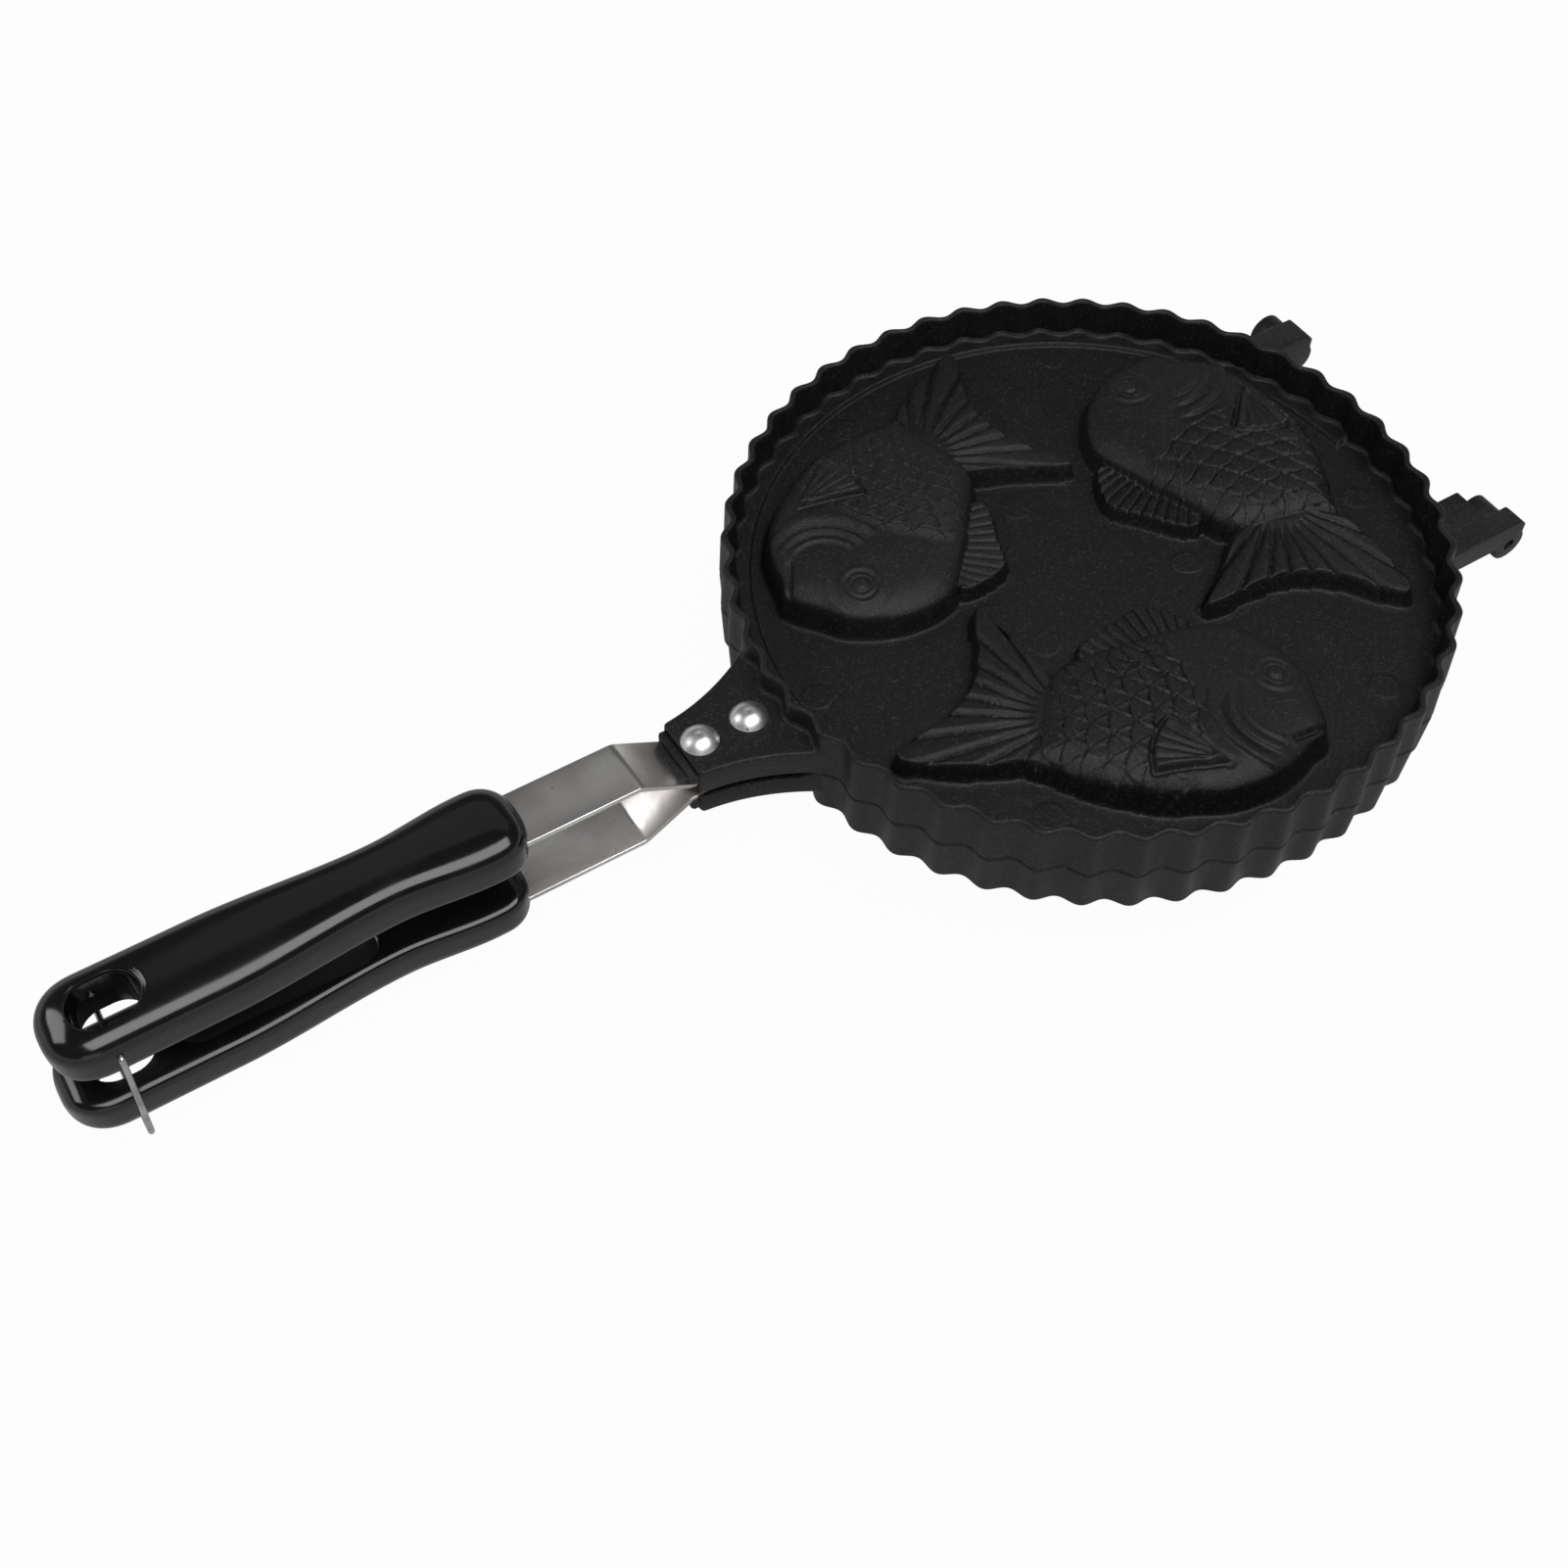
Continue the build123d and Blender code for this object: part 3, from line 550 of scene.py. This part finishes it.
# ---- Cast halves: handle bosses ---------------------------------------------------------------
# A flat arm is cast onto each wall. It narrows to its end, where a thin tongue lies on the steel
# strip, and a fillet follows the flutes where it meets the wall. A channel below holds the strip.
boss_end = -127.0
boss_root = -98.0
boss_top = 8.25
boss_edge = 0.8
channel = 8.3


def boss_half_width(x):
    """Half width of the arm: a parabola from 9.6 mm at its end, opening faster near the wall."""
    t = x - boss_end
    return 9.6 + 0.0786 * t + 0.00918 * t ** 2 + 0.1 * np.maximum(t - 28, 0) ** 2


def boss_points():
    """Rows from the end to the wall, columns round the section. The last row lies inside the wall, on
    the flutes' curve moved in by 1.2 mm, so each row bends toward that curve as it nears it."""
    corner = np.linspace(0, np.pi / 2, 5)
    flat = np.linspace(-1, 1, 45)
    under = np.array([-0.4, 0.0, 0.4])
    row = 1 - (1 - np.linspace(0, 1, 64)[:, None]) ** 1.7
    head = np.linspace(0, 1, 6)[1:-1, None] ** 2 * row[1]
    row = np.vstack([row[:1], head, row[1:]])
    # top across, right corner, right side, underside with its channel, left side, left corner
    share = np.concatenate([flat, np.ones(5), np.ones(2), [1, 0, 0], np.zeros(3), [0, 0, -1],
                            -np.ones(2), -np.ones(5)])
    extra = np.concatenate([0 * flat, boss_edge * np.sin(corner), [boss_edge, boss_edge - 0.3],
                            [0, channel + 0.05, channel], -under * -channel, [-channel, -channel - 0.05, 0],
                            [0.3 - boss_edge, -boss_edge], -boss_edge * np.sin(corner[::-1])])
    drop = np.concatenate([0 * flat, boss_edge * (1 - np.cos(corner)), np.zeros(2), np.zeros(9),
                           np.zeros(2), boss_edge * (1 - np.cos(corner[::-1]))])
    kind = np.concatenate([np.ones(len(flat)), np.ones(5), [0, 0], [0, 0, 2], [2, 2, 2], [2, 0, 0],
                           [0, 0], np.ones(5)])
    base = np.concatenate([0 * flat, np.zeros(5), [0.4, 0.0], np.zeros(9), [0.0, 0.4], np.zeros(5)])
    x = boss_end + (boss_root - boss_end) * row + 0 * share[None, :]
    for _ in range(6):
        edge_gap = np.clip(x - boss_end, 0, 1.2)
        rounding = 1.2 - np.sqrt(1.2 ** 2 - (1.2 - edge_gap) ** 2)
        width = boss_half_width(x) - boss_edge - rounding
        y = share * width + extra
        wall = outer_radius(np.pi - np.arcsin(np.clip(y / 99.0, -0.9, 0.9)), boss_top) - 1.2
        x = boss_end + (-np.sqrt(wall ** 2 - y ** 2) - boss_end) * row
    away = np.hypot(x, y) - outer_radius(np.arctan2(y, x), boss_top)
    bend = np.clip(away, 0, 1.2)
    fillet = 1.2 - np.sqrt(1.2 ** 2 - (1.2 - bend) ** 2)
    slot = 1.95 * (1 - step(x, -102.0, -98.0)) * (y > 7.8)
    top = boss_top - drop - rounding * 0.5 + fillet
    z = np.where(kind == 1, top, np.where(kind == 2, 3.55, base + slot))
    return np.stack([x, y, z], -1)


boss_grid = boss_points()
for half, place in (("upper", upright), ("lower", turned_over)):
    cast_piece(half, "boss", [(place(boss_grid), False, True)], caps=cap_rings(boss_grid), sharp=50)


def inset_outline(outline, amount):
    """Each corner moved in along the mean of its two edges' normals, by amount over its cosine."""
    forward = np.roll(outline, -1, 0) - outline
    forward = forward / np.linalg.norm(forward, axis=1, keepdims=True)
    normal = np.stack([-forward[:, 1], forward[:, 0]], -1)
    before = np.roll(normal, 1, 0)
    mean = normal + before
    return outline + amount * mean / np.maximum((normal * mean).sum(1, keepdims=True), 0.5)


def block(outline, low, high, edge):
    """A block over an outline that runs anticlockwise, with its long edges broken by an eighth turn."""
    outline = np.asarray(outline, float)
    levels = [(edge, low), (edge * 0.3, low + edge * 0.3), (0, low + edge), (0, high - edge),
              (edge * 0.3, high - edge * 0.3), (edge, high)]
    rows = [np.column_stack([inset_outline(outline, gap), np.full(len(outline), z)]) for gap, z in levels]
    return np.stack(rows)


tongue = block([(-131.4, -5.4), (-129.1, -7.7), (-126.2, -7.7), (-126.2, 7.7), (-129.1, 7.7), (-131.4, 5.4)],
               3.6, 5.15, 0.35)
collar = block([(-129.2, -7.9), (-128.6, -8.7), (-126.2, -8.7), (-126.2, 8.7), (-128.6, 8.7), (-129.2, 7.9)],
               3.7, 6.6, 0.4)
for half, place in (("upper", upright), ("lower", turned_over)):
    for label, shape in (("tongue", tongue), ("collar", collar)):
        cast_piece(half, label, [(place(shape), False, True)], caps=cap_rings(shape), sharp=50)


# ---- Cast halves: hinge lugs ------------------------------------------------------------------
# Two lugs stand out of each wall on the side away from the handle. Each is a square finger with a
# round underside about the pin, and a block beside the outer one stops the mating knuckle.
hinge_x = 108.6
knuckle = 5.2


def lug_outline(root):
    """Side view of a lug, X and Z: the root, the underside, the knuckle's arc, and the cut corner."""
    arc = np.radians(np.linspace(180, 396.2, 26))
    around = np.column_stack([hinge_x + knuckle * np.cos(arc), knuckle * np.sin(arc)])
    return np.vstack([[(root, 0.0)], around, [(112.8, 6.05), (110.6, boss_top), (root, boss_top)]])


def lug_block(outline, y0, y1, edge):
    """A block between two values of Y over a side view, whose root corners lie inside the wall."""
    grid = block(outline, y0, y1, edge)[:, :, [0, 2, 1]]
    rooted = np.abs(outline[:, 0] - outline[0, 0]) < 1e-6
    depth = np.sqrt(96.6 ** 2 - grid[:, :, 1] ** 2)
    grid[:, :, 0] = np.where(rooted[None, :], depth, grid[:, :, 0])
    grid[:, :, 2] = np.where(rooted[None, :], np.clip(grid[:, :, 2], 0.05, boss_top - 0.05), grid[:, :, 2])
    return grid


def cut_out(obj, *cutters):
    """Takes closed cutters out of a piece with exact booleans, and puts the result in its mesh."""
    for cutter in cutters:
        modifier = obj.modifiers.new("cut", "BOOLEAN")
        modifier.operation = "DIFFERENCE"
        modifier.solver = "EXACT"
        modifier.object = cutter
        bpy.context.view_layer.update()
        done = bpy.data.meshes.new_from_object(obj.evaluated_get(bpy.context.evaluated_depsgraph_get()))
        obj.modifiers.clear()
        obj.data = done
    for cutter in cutters:
        bpy.data.objects.remove(cutter)
    obj.data.shade_smooth()
    obj.data.set_sharp_from_angle(angle=radians(42))


def rod(radius, middle, length, sides=32):
    """A round bar along Y, for a bore."""
    turn = np.linspace(0, 2 * np.pi, sides, endpoint=False)
    rows = [np.stack([radius * np.cos(turn), np.full(sides, end), radius * np.sin(turn)], -1)
            for end in (-length / 2, length / 2)]
    return np.stack(rows) + np.asarray(middle, float)


def cutter_of(grid):
    """A closed piece that rides on nothing, to be taken out of another."""
    return build("cutter", [(grid, False, True)], None, None, None, cast_black,
                 caps=cap_rings(grid))


outer_lug = lug_block(lug_outline(83.0), -53.0, -46.2, 0.5)
inner_lug = lug_block(lug_outline(86.0), 36.8, 45.8, 0.5)
stop_block = lug_block(np.array([(84.0, 0.0), (102.9, 0.0), (102.9, boss_top), (84.0, boss_top)]),
                       -46.6, -34.9, 0.6)
for half, place in (("upper", upright), ("lower", turned_over)):
    for label, shape, bore in (("outer_lug", outer_lug, rod(1.75, (hinge_x, -49.6, 0), 9.0)),
                               ("inner_lug", inner_lug, rod(1.7, (hinge_x, 43.3, 0), 9.0)),
                               ("stop_block", stop_block, None)):
        lug = cast_piece(half, label, [(place(shape), False, True)], caps=cap_rings(shape), sharp=40)
        if bore is not None:
            cut_out(lug, cutter_of(place(bore)))


# ---- Hinge pins -------------------------------------------------------------------------------
# Plain steel pins, pressed into the inner lugs and turning in the outer ones. Their ends are broken.

def turned(profile, sides):
    """A profile of radius and height carried once round an axis."""
    turn = np.linspace(0, 2 * np.pi, sides, endpoint=False)[None, :]
    radius, height = np.asarray(profile, float).T
    return np.stack([radius[:, None] * np.cos(turn), radius[:, None] * np.sin(turn),
                     height[:, None] + 0 * turn], -1)


# Smears: stretched noise for rubbed marks, and finer noise along the piece for brushed lines.
smears, smears_in, smears_out = new_group(
    "smears", {"Scale": 40.0, "Line Scale": 900.0}, ["Smear", "Line", "Speck"])
smears_place = add_node(smears, "ShaderNodeTexCoord")
smears_long = add_node(smears, "ShaderNodeMapping", Scale=(0.03, 1.0, 1.0))
smears_wide = add_node(smears, "ShaderNodeMapping", Scale=(0.6, 1.0, 1.0))
smears_noise = add_node(smears, "ShaderNodeTexNoise", Detail=5.0, Roughness=0.55, Distortion=0.6)
smears_lines = add_node(smears, "ShaderNodeTexNoise", Detail=3.0, Roughness=0.6)
smears_specks = add_node(smears, "ShaderNodeTexNoise", Scale=700.0, Detail=1.0)
smears_limit = add_node(smears, "ShaderNodeMapRange", From_Min=0.76, From_Max=0.80, To_Min=0.0, To_Max=1.0)
smears_range = add_node(smears, "ShaderNodeMapRange", From_Min=0.38, From_Max=0.66, To_Min=0.0, To_Max=1.0)
join(smears,
     (smears_place.outputs["Object"], smears_long.inputs["Vector"]),
     (smears_place.outputs["Object"], smears_wide.inputs["Vector"]),
     (smears_place.outputs["Object"], smears_specks.inputs["Vector"]),
     (smears_wide.outputs[0], smears_noise.inputs["Vector"]),
     (smears_long.outputs[0], smears_lines.inputs["Vector"]),
     (smears_in.outputs["Scale"], smears_noise.inputs["Scale"]),
     (smears_in.outputs["Line Scale"], smears_lines.inputs["Scale"]),
     (smears_noise.outputs[0], smears_range.inputs["Value"]),
     (smears_specks.outputs[0], smears_limit.inputs["Value"]),
     (smears_range.outputs[0], smears_out.inputs["Smear"]),
     (smears_lines.outputs[0], smears_out.inputs["Line"]),
     (smears_limit.outputs[0], smears_out.inputs["Speck"]))


def steel(name, clean, rubbed, smooth, rough, scale, line_scale, line_depth):
    """Bare metal: smears mix a rubbed tone in and dull it, and brushed lines give a slight bump."""
    material, tree, shader = new_material(name, Metallic=1.0)
    texture = add_node(tree, "ShaderNodeGroup", {"node_tree": smears}, Scale=scale, Line_Scale=line_scale)
    colour = mix_colours(tree, clean, rubbed)
    specked = mix_colours(tree, clean, (0.07, 0.06, 0.05))
    gloss = add_node(tree, "ShaderNodeMapRange", To_Min=smooth, To_Max=rough)
    bump = add_node(tree, "ShaderNodeBump", Strength=0.5, Distance=line_depth)
    join(tree,
         (texture.outputs["Smear"], colour.inputs[0]),
         (texture.outputs["Speck"], specked.inputs[0]),
         (colour.outputs[2], specked.inputs[6]),
         (specked.outputs[2], shader.inputs["Base Color"]),
         (texture.outputs["Smear"], gloss.inputs["Value"]),
         (gloss.outputs[0], shader.inputs["Roughness"]),
         (texture.outputs["Line"], bump.inputs["Height"]),
         (bump.outputs[0], shader.inputs["Normal"]))
    return material


pin_steel = steel("pin_steel", clean=(0.42, 0.42, 0.42), rubbed=(0.25, 0.24, 0.23),
                  smooth=0.25, rough=0.45, scale=90.0, line_scale=1500.0, line_depth=0.00002)
pin_profile = [(0, -6.5), (1.35, -6.5), (1.7, -6.15), (1.7, 6.15), (1.35, 6.5), (0, 6.5)]
pin_grid = turned(pin_profile, 40)[:, :, [0, 2, 1]] + np.array([hinge_x, -45.3, 0])
build("hinge_pin_near_bar", [(upright(pin_grid), False, True)], "lower_half", "hinge_pin_near",
      "steel_pin", pin_steel)
build("hinge_pin_far_bar", [(turned_over(pin_grid), False, True)], "upper_half", "hinge_pin_far",
      "steel_pin", pin_steel)


# ---- Steel tangs ------------------------------------------------------------------------------
# Stainless strip, 16.3 by 1.5 mm, cropped and bent twice: it lies in the boss, climbs a ramp, and
# runs into the grip. Its faces are mill finish with rubbed grey-brown smears, and its edges shine.
tang_steel = steel("tang_steel", clean=(0.72, 0.71, 0.70), rubbed=(0.42, 0.395, 0.375),
                   smooth=0.22, rough=0.38, scale=34.0, line_scale=900.0, line_depth=0.00002)


def bent_line(corners, radius, arc_steps):
    """A line in X and Z with its corners rounded: the arc starts radius * tan(half the turn) before."""
    corners = np.asarray(corners, float)
    points = [corners[0]]
    for before, here, after in zip(corners, corners[1:], corners[2:]):
        a = (here - before) / np.linalg.norm(here - before)
        b = (after - here) / np.linalg.norm(after - here)
        turn = np.arctan2(a[0] * b[1] - a[1] * b[0], a @ b)
        back = radius * np.tan(abs(turn) / 2)
        side = np.sign(turn) * np.array([-a[1], a[0]])
        middle = here - a * back + side * radius
        for t in np.linspace(0, turn, arc_steps):
            spoke = -side * radius
            points.append(middle + np.array([spoke[0] * np.cos(t) - spoke[1] * np.sin(t),
                                             spoke[0] * np.sin(t) + spoke[1] * np.cos(t)]))
    points.append(corners[-1])
    return np.array(points)


tang_low = 2.8
tang_high = 11.2


def tang_points(extra):
    """The strip's section, a rounded rectangle, carried along its bent middle line."""
    corners = [(-99.5, tang_low), (-128.5, tang_low), (-142.7, tang_high), (-262.0 - extra, tang_high)]
    line = bent_line(corners, 4.0, 12)
    way = np.gradient(line, axis=0)
    way = way / np.linalg.norm(way, axis=1, keepdims=True)
    rise = np.stack([way[:, 1], -way[:, 0]], -1)
    corner = np.radians(np.arange(0, 360, 15)) + radians(7.5)
    side = 7.8 * np.sign(np.cos(corner)) + 0.35 * np.cos(corner)
    lift = 0.4 * np.sign(np.sin(corner)) + 0.35 * np.sin(corner)
    x = line[:, None, 0] + rise[:, None, 0] * lift[None, :]
    z = line[:, None, 1] + rise[:, None, 1] * lift[None, :]
    return np.stack([x, side[None, :] + 0 * x, z], -1)


for half, place, extra in (("upper", upright, 0.0), ("lower", turned_over, 2.1)):
    strip = tang_points(extra)
    build(half + "_tang_strip", [(place(strip), False, True)], half + "_half", half + "_tang",
          "stainless_strip", tang_steel, caps=cap_rings(strip), sharp=60)


# ---- Rivets -----------------------------------------------------------------------------------
# Bright aluminium rivets with domed heads go through boss and tang, two to each half. The setting
# punch leaves a shallow dimple on the crown, and the closing head inside is a flat button.
rivet_bright = steel("rivet_bright", clean=(0.78, 0.78, 0.78), rubbed=(0.60, 0.60, 0.60),
                     smooth=0.32, rough=0.44, scale=160.0, line_scale=1800.0, line_depth=0.00001)
rivet_radius = 5.05
rivet_rise = 2.7
ball = (rivet_radius ** 2 + rivet_rise ** 2) / (2 * rivet_rise)
head_turn = np.linspace(0, np.arcsin(rivet_radius / ball), 22)
head_radius = ball * np.sin(head_turn)
head_height = boss_top + rivet_rise - ball + ball * np.cos(head_turn)
head_height = head_height - 0.3 * np.exp(-(head_radius / 0.8) ** 2)
rivet_profile = np.column_stack([head_radius, head_height]).tolist()
rivet_profile += [(5.0, 8.12), (4.7, 8.05), (2.5, 8.05), (2.5, 2.05), (3.7, 2.05), (3.95, 1.9), (4.0, 1.3),
                  (3.7, 0.9), (0.0, 0.85)]
rivet_grid = turned(rivet_profile, 72)
for half, place in (("upper", upright), ("lower", turned_over)):
    for label, x in (("inner", -107.0), ("outer", -121.5)):
        build("%s_rivet_%s_head" % (half, label), [(place(rivet_grid + np.array([x, 0, 0])), False, True)],
              half + "_half", "%s_rivet_%s" % (half, label), "bright_rivet", rivet_bright, sharp=35)


# ---- Grips ------------------------------------------------------------------------------------
# Glossy black phenolic, moulded over each tang: a crowned back, a flatter inner face with a shallow
# recess, a waist near the front, and a hanging hole with a rounded lip near the rear.
grip_rear = -293.05
grip_front = -172.1
grip_middle = 11.7
latch_pivot = np.array([-278.4, 0, 12.25])


def grip_plastic():
    """Black plastic with a polished skin: faint smears dull it, and a slow wave bends the shine."""
    material, tree, shader = new_material("grip_plastic", Specular_IOR_Level=0.5)
    texture = add_node(tree, "ShaderNodeGroup", {"node_tree": smears}, Scale=70.0, Line_Scale=260.0)
    colour = mix_colours(tree, (0.0035, 0.0035, 0.0037), (0.0060, 0.0056, 0.0052))
    gloss = add_node(tree, "ShaderNodeMapRange", To_Min=0.11, To_Max=0.20)
    bump = add_node(tree, "ShaderNodeBump", Strength=0.25, Distance=0.00002)
    join(tree,
         (texture.outputs["Smear"], colour.inputs[0]),
         (colour.outputs[2], shader.inputs["Base Color"]),
         (texture.outputs["Smear"], gloss.inputs["Value"]),
         (gloss.outputs[0], shader.inputs["Roughness"]),
         (texture.outputs["Line"], bump.inputs["Height"]),
         (bump.outputs[0], shader.inputs["Normal"]))
    return material


grip_black = grip_plastic()


def round_off(distance, length):
    """Rounded end: (1 - (1 - d / length)^2.3)^(1 / 2.3), from 0 at the tip to 1."""
    part = 1 - np.clip(distance / length, 0, 1)
    return (1 - part ** 2.3) ** (1 / 2.3)


def grip_points():
    """Rows along the grip, columns round it. The section is a superellipse, of power 2.9 on the crown
    and 6 on the inner face, whose width and heights follow the grip's waist and its rounded ends."""
    rear_end = grip_rear + 0.1 + 12.9 * np.linspace(0, 1, 34) ** 2
    front_end = grip_front - 0.1 - 10.4 * np.linspace(1, 0, 30) ** 2
    x = np.concatenate([rear_end, np.linspace(-280.0, -182.7, 92)[1:-1], front_end])[:, None]
    rear, front = x - grip_rear, grip_front - x
    width = 12.5 - 2.7 * step(x, -252.0, -209.0) + 2.2 * step(x, -209.0, -184.0)
    width = width * round_off(rear, 13.0) * round_off(front, 10.5)
    face = 4.9 + 0.7 * rear / (grip_front - grip_rear)
    above = 6.9 * round_off(rear, 12.0) * round_off(front, 9.0)
    below = (grip_middle - face) * round_off(rear, 6.0) * round_off(front, 6.0)
    angle = (np.linspace(0, 2 * np.pi, 128, endpoint=False) + np.pi / 128)[None, :]
    side, rise = np.cos(angle), np.sin(angle)
    power = np.where(rise > 0, 2.9, 6.0)
    y = width * np.sign(side) * np.abs(side) ** (2 / power)
    z = grip_middle + np.where(rise > 0, above, -below) * np.abs(rise) ** (2 / power)
    return np.stack([x + 0 * y, y, z], -1)


def stadium(length, width, grow, sides=24):
    """A slot's outline: two half circles and straight sides, grown by a margin."""
    turn = np.linspace(-np.pi / 2, np.pi / 2, sides)
    radius = width / 2 + grow
    reach = (length - width) / 2
    right = np.column_stack([reach + radius * np.cos(turn), radius * np.sin(turn)])
    return np.vstack([right, -right])


def slot_cutter(x, length, width, levels):
    """A slot-shaped bar whose outline grows level by level."""
    rows = []
    for grow, z in levels:
        outline = stadium(length, width, grow) + np.array([x, 0])
        rows.append(np.column_stack([outline, np.full(len(outline), z)]))
    return np.stack(rows)


lip = 1.5
lip_turn = np.linspace(0, np.pi / 2, 8)
hole_levels = [(0.0, -2.0), (0.0, 8.0)]
hole_levels += [(lip * (1 - np.cos(t)), 17.0 + lip * np.sin(t)) for t in lip_turn]
hole_levels += [(2.4, 19.2), (2.4, 24.0)]
hole_grid = slot_cutter(-276.6, 16.6, 13.3, hole_levels)
recess_grid = slot_cutter(-237.5, 53.0, 14.4, [(0.3, 2.0), (0.2, 5.4), (-0.1, 7.4), (-0.7, 8.1), (-1.4, 8.3)])
grip_grid = grip_points()
for half, place, offset in (("upper", upright, 0.0), ("lower", turned_over, -2.1)):
    move = np.array([offset, 0, 0])
    grip = build(half + "_grip_moulding", [(place(grip_grid + move), False, True)], half + "_half",
                 half + "_grip", "black_grip", grip_black, caps=cap_rings(grip_grid), sharp=50)
    cutters = [cutter_of(place(hole_grid + move)), cutter_of(place(recess_grid + move))]
    if half == "upper":
        cutters.append(cutter_of(place(rod(0.89, latch_pivot, 40.0))))
    cut_out(grip, *cutters)


# ---- Wire latch -------------------------------------------------------------------------------
# A bail of 1.6 mm spring steel wire: its two bent ends turn in holes in the upper grip's sides, and
# its crossbar snaps under the lower grip.
wire_steel = steel("wire_steel", clean=(0.50, 0.49, 0.48), rubbed=(0.30, 0.29, 0.28),
                   smooth=0.22, rough=0.38, scale=120.0, line_scale=1400.0, line_depth=0.00001)


def bail_points():
    """A circle carried along the bent line. The line lies in one plane, through Y and the legs, so
    each ring is spanned by that plane's normal and by its cross product with the line's direction."""
    leg = np.array([-1.9, 0, -33.1])
    length = np.linalg.norm(leg)
    leg = leg / length
    flat = bent_line([(6.2, 0), (13.6, 0), (13.6, length), (-13.6, length), (-13.6, 0), (-6.2, 0)], 0.95, 9)
    across = np.array([0, 1.0, 0])
    line = latch_pivot + flat[:, :1] * across + flat[:, 1:] * leg
    way = np.gradient(line, axis=0)
    way = way / np.linalg.norm(way, axis=1, keepdims=True)
    flat_normal = np.cross(across, leg)
    out = np.cross(flat_normal, way)
    turn = np.linspace(0, 2 * np.pi, 20, endpoint=False)[None, :, None]
    ends = np.ones(len(line))
    ends[[0, -1]] = 0.72
    ring = ends[:, None, None] * 0.8 * (np.cos(turn) * flat_normal + np.sin(turn) * out[:, None, :])
    return line[:, None, :] + ring


bail = bail_points()
build("latch_wire_bail", [(upright(bail), False, True)], "latch", "latch_wire", "steel_wire", wire_steel,
      caps=cap_rings(bail), sharp=60)


# ---- Floor, world and lamps -------------------------------------------------------------------
# A plain white studio, with soft lamps overhead and no hard edges. The floor is level, and it lies
# under the opened lid's swung latch too. It is white to the eye, and reflections show it grey.
floor_level = -0.0300
floor_mesh = bpy.data.meshes.new("floor")
floor_reach = 9.0
floor_mesh.from_pydata([(sx * floor_reach, sy * floor_reach, floor_level)
                        for sx, sy in ((-1, -1), (1, -1), (1, 1), (-1, 1))], [], [(0, 1, 2, 3)])
floor = bpy.data.objects.new("floor", floor_mesh)
bpy.context.scene.collection.objects.link(floor)
floor_paint = bpy.data.materials.new("floor_paint")
floor_paint.use_nodes = True
paint = floor_paint.node_tree
paint.nodes.clear()
paint_out = add_node(paint, "ShaderNodeOutputMaterial")
paint_diffuse = add_node(paint, "ShaderNodeBsdfDiffuse", Color=(0.40, 0.40, 0.40, 1))
paint_white = add_node(paint, "ShaderNodeEmission", Color=(1, 1, 1, 1), Strength=1.0)
paint_path = add_node(paint, "ShaderNodeLightPath")
paint_seen = add_node(paint, "ShaderNodeMath", {"operation": "MULTIPLY"})
paint_seen.inputs[1].default_value = 0.97
paint_gloss = add_node(paint, "ShaderNodeMath", {"operation": "MULTIPLY"})
paint_gloss.inputs[1].default_value = 0.27
paint_share = add_node(paint, "ShaderNodeMath", {"operation": "MAXIMUM"})
paint_mix = add_node(paint, "ShaderNodeMixShader")
join(paint,
     (paint_path.outputs["Is Camera Ray"], paint_seen.inputs[0]),
     (paint_path.outputs["Is Glossy Ray"], paint_gloss.inputs[0]),
     (paint_seen.outputs[0], paint_share.inputs[0]),
     (paint_gloss.outputs[0], paint_share.inputs[1]),
     (paint_share.outputs[0], paint_mix.inputs[0]),
     (paint_diffuse.outputs[0], paint_mix.inputs[1]),
     (paint_white.outputs[0], paint_mix.inputs[2]),
     (paint_mix.outputs[0], paint_out.inputs[0]))
floor_mesh.materials.append(floor_paint)

world = bpy.data.worlds.new("studio")
bpy.context.scene.world = world
world.use_nodes = True
sky = world.node_tree
sky_shader = sky.nodes["Background"]
sky_place = add_node(sky, "ShaderNodeTexCoord")
sky_split = add_node(sky, "ShaderNodeSeparateXYZ")
sky_band = add_node(sky, "ShaderNodeMapRange", From_Min=0.02, From_Max=0.34, To_Min=0.9, To_Max=0.09)
sky_path = add_node(sky, "ShaderNodeLightPath")
sky_level = add_node(sky, "ShaderNodeMath", {"operation": "MAXIMUM"})
join(sky,
     (sky_place.outputs["Generated"], sky_split.inputs[0]),
     (sky_split.outputs["Z"], sky_band.inputs["Value"]),
     (sky_band.outputs[0], sky_level.inputs[0]),
     (sky_path.outputs["Is Camera Ray"], sky_level.inputs[1]),
     (sky_level.outputs[0], sky_shader.inputs["Color"]))
sky_shader.inputs["Strength"].default_value = 1.0


def softbox(name, place, target, width, height, power):
    """A flat lamp that faces a point."""
    lamp_data = bpy.data.lights.new(name, "AREA")
    lamp_data.shape = "RECTANGLE"
    lamp_data.size = width
    lamp_data.size_y = height
    lamp_data.energy = power
    lamp = bpy.data.objects.new(name, lamp_data)
    bpy.context.scene.collection.objects.link(lamp)
    lamp.location = place
    lamp.rotation_euler = (Vector(target) - Vector(place)).to_track_quat("-Z", "Y").to_euler()


softbox("overhead", (0.0, -0.55, 1.35), (-0.08, 0.0, 0.0), 1.5, 0.9, 21.0)
softbox("far_fill", (-1.15, 0.75, 1.0), (-0.1, 0.0, 0.0), 0.7, 0.6, 5.0)
softbox("back_card", (0.3, 0.72, 1.08), (-0.1, 0.0, 0.02), 1.2, 0.6, 0.5)
softbox("near_fill", (-0.9, -1.5, 0.55), (-0.05, 0.0, 0.0), 0.9, 0.5, 1.0)
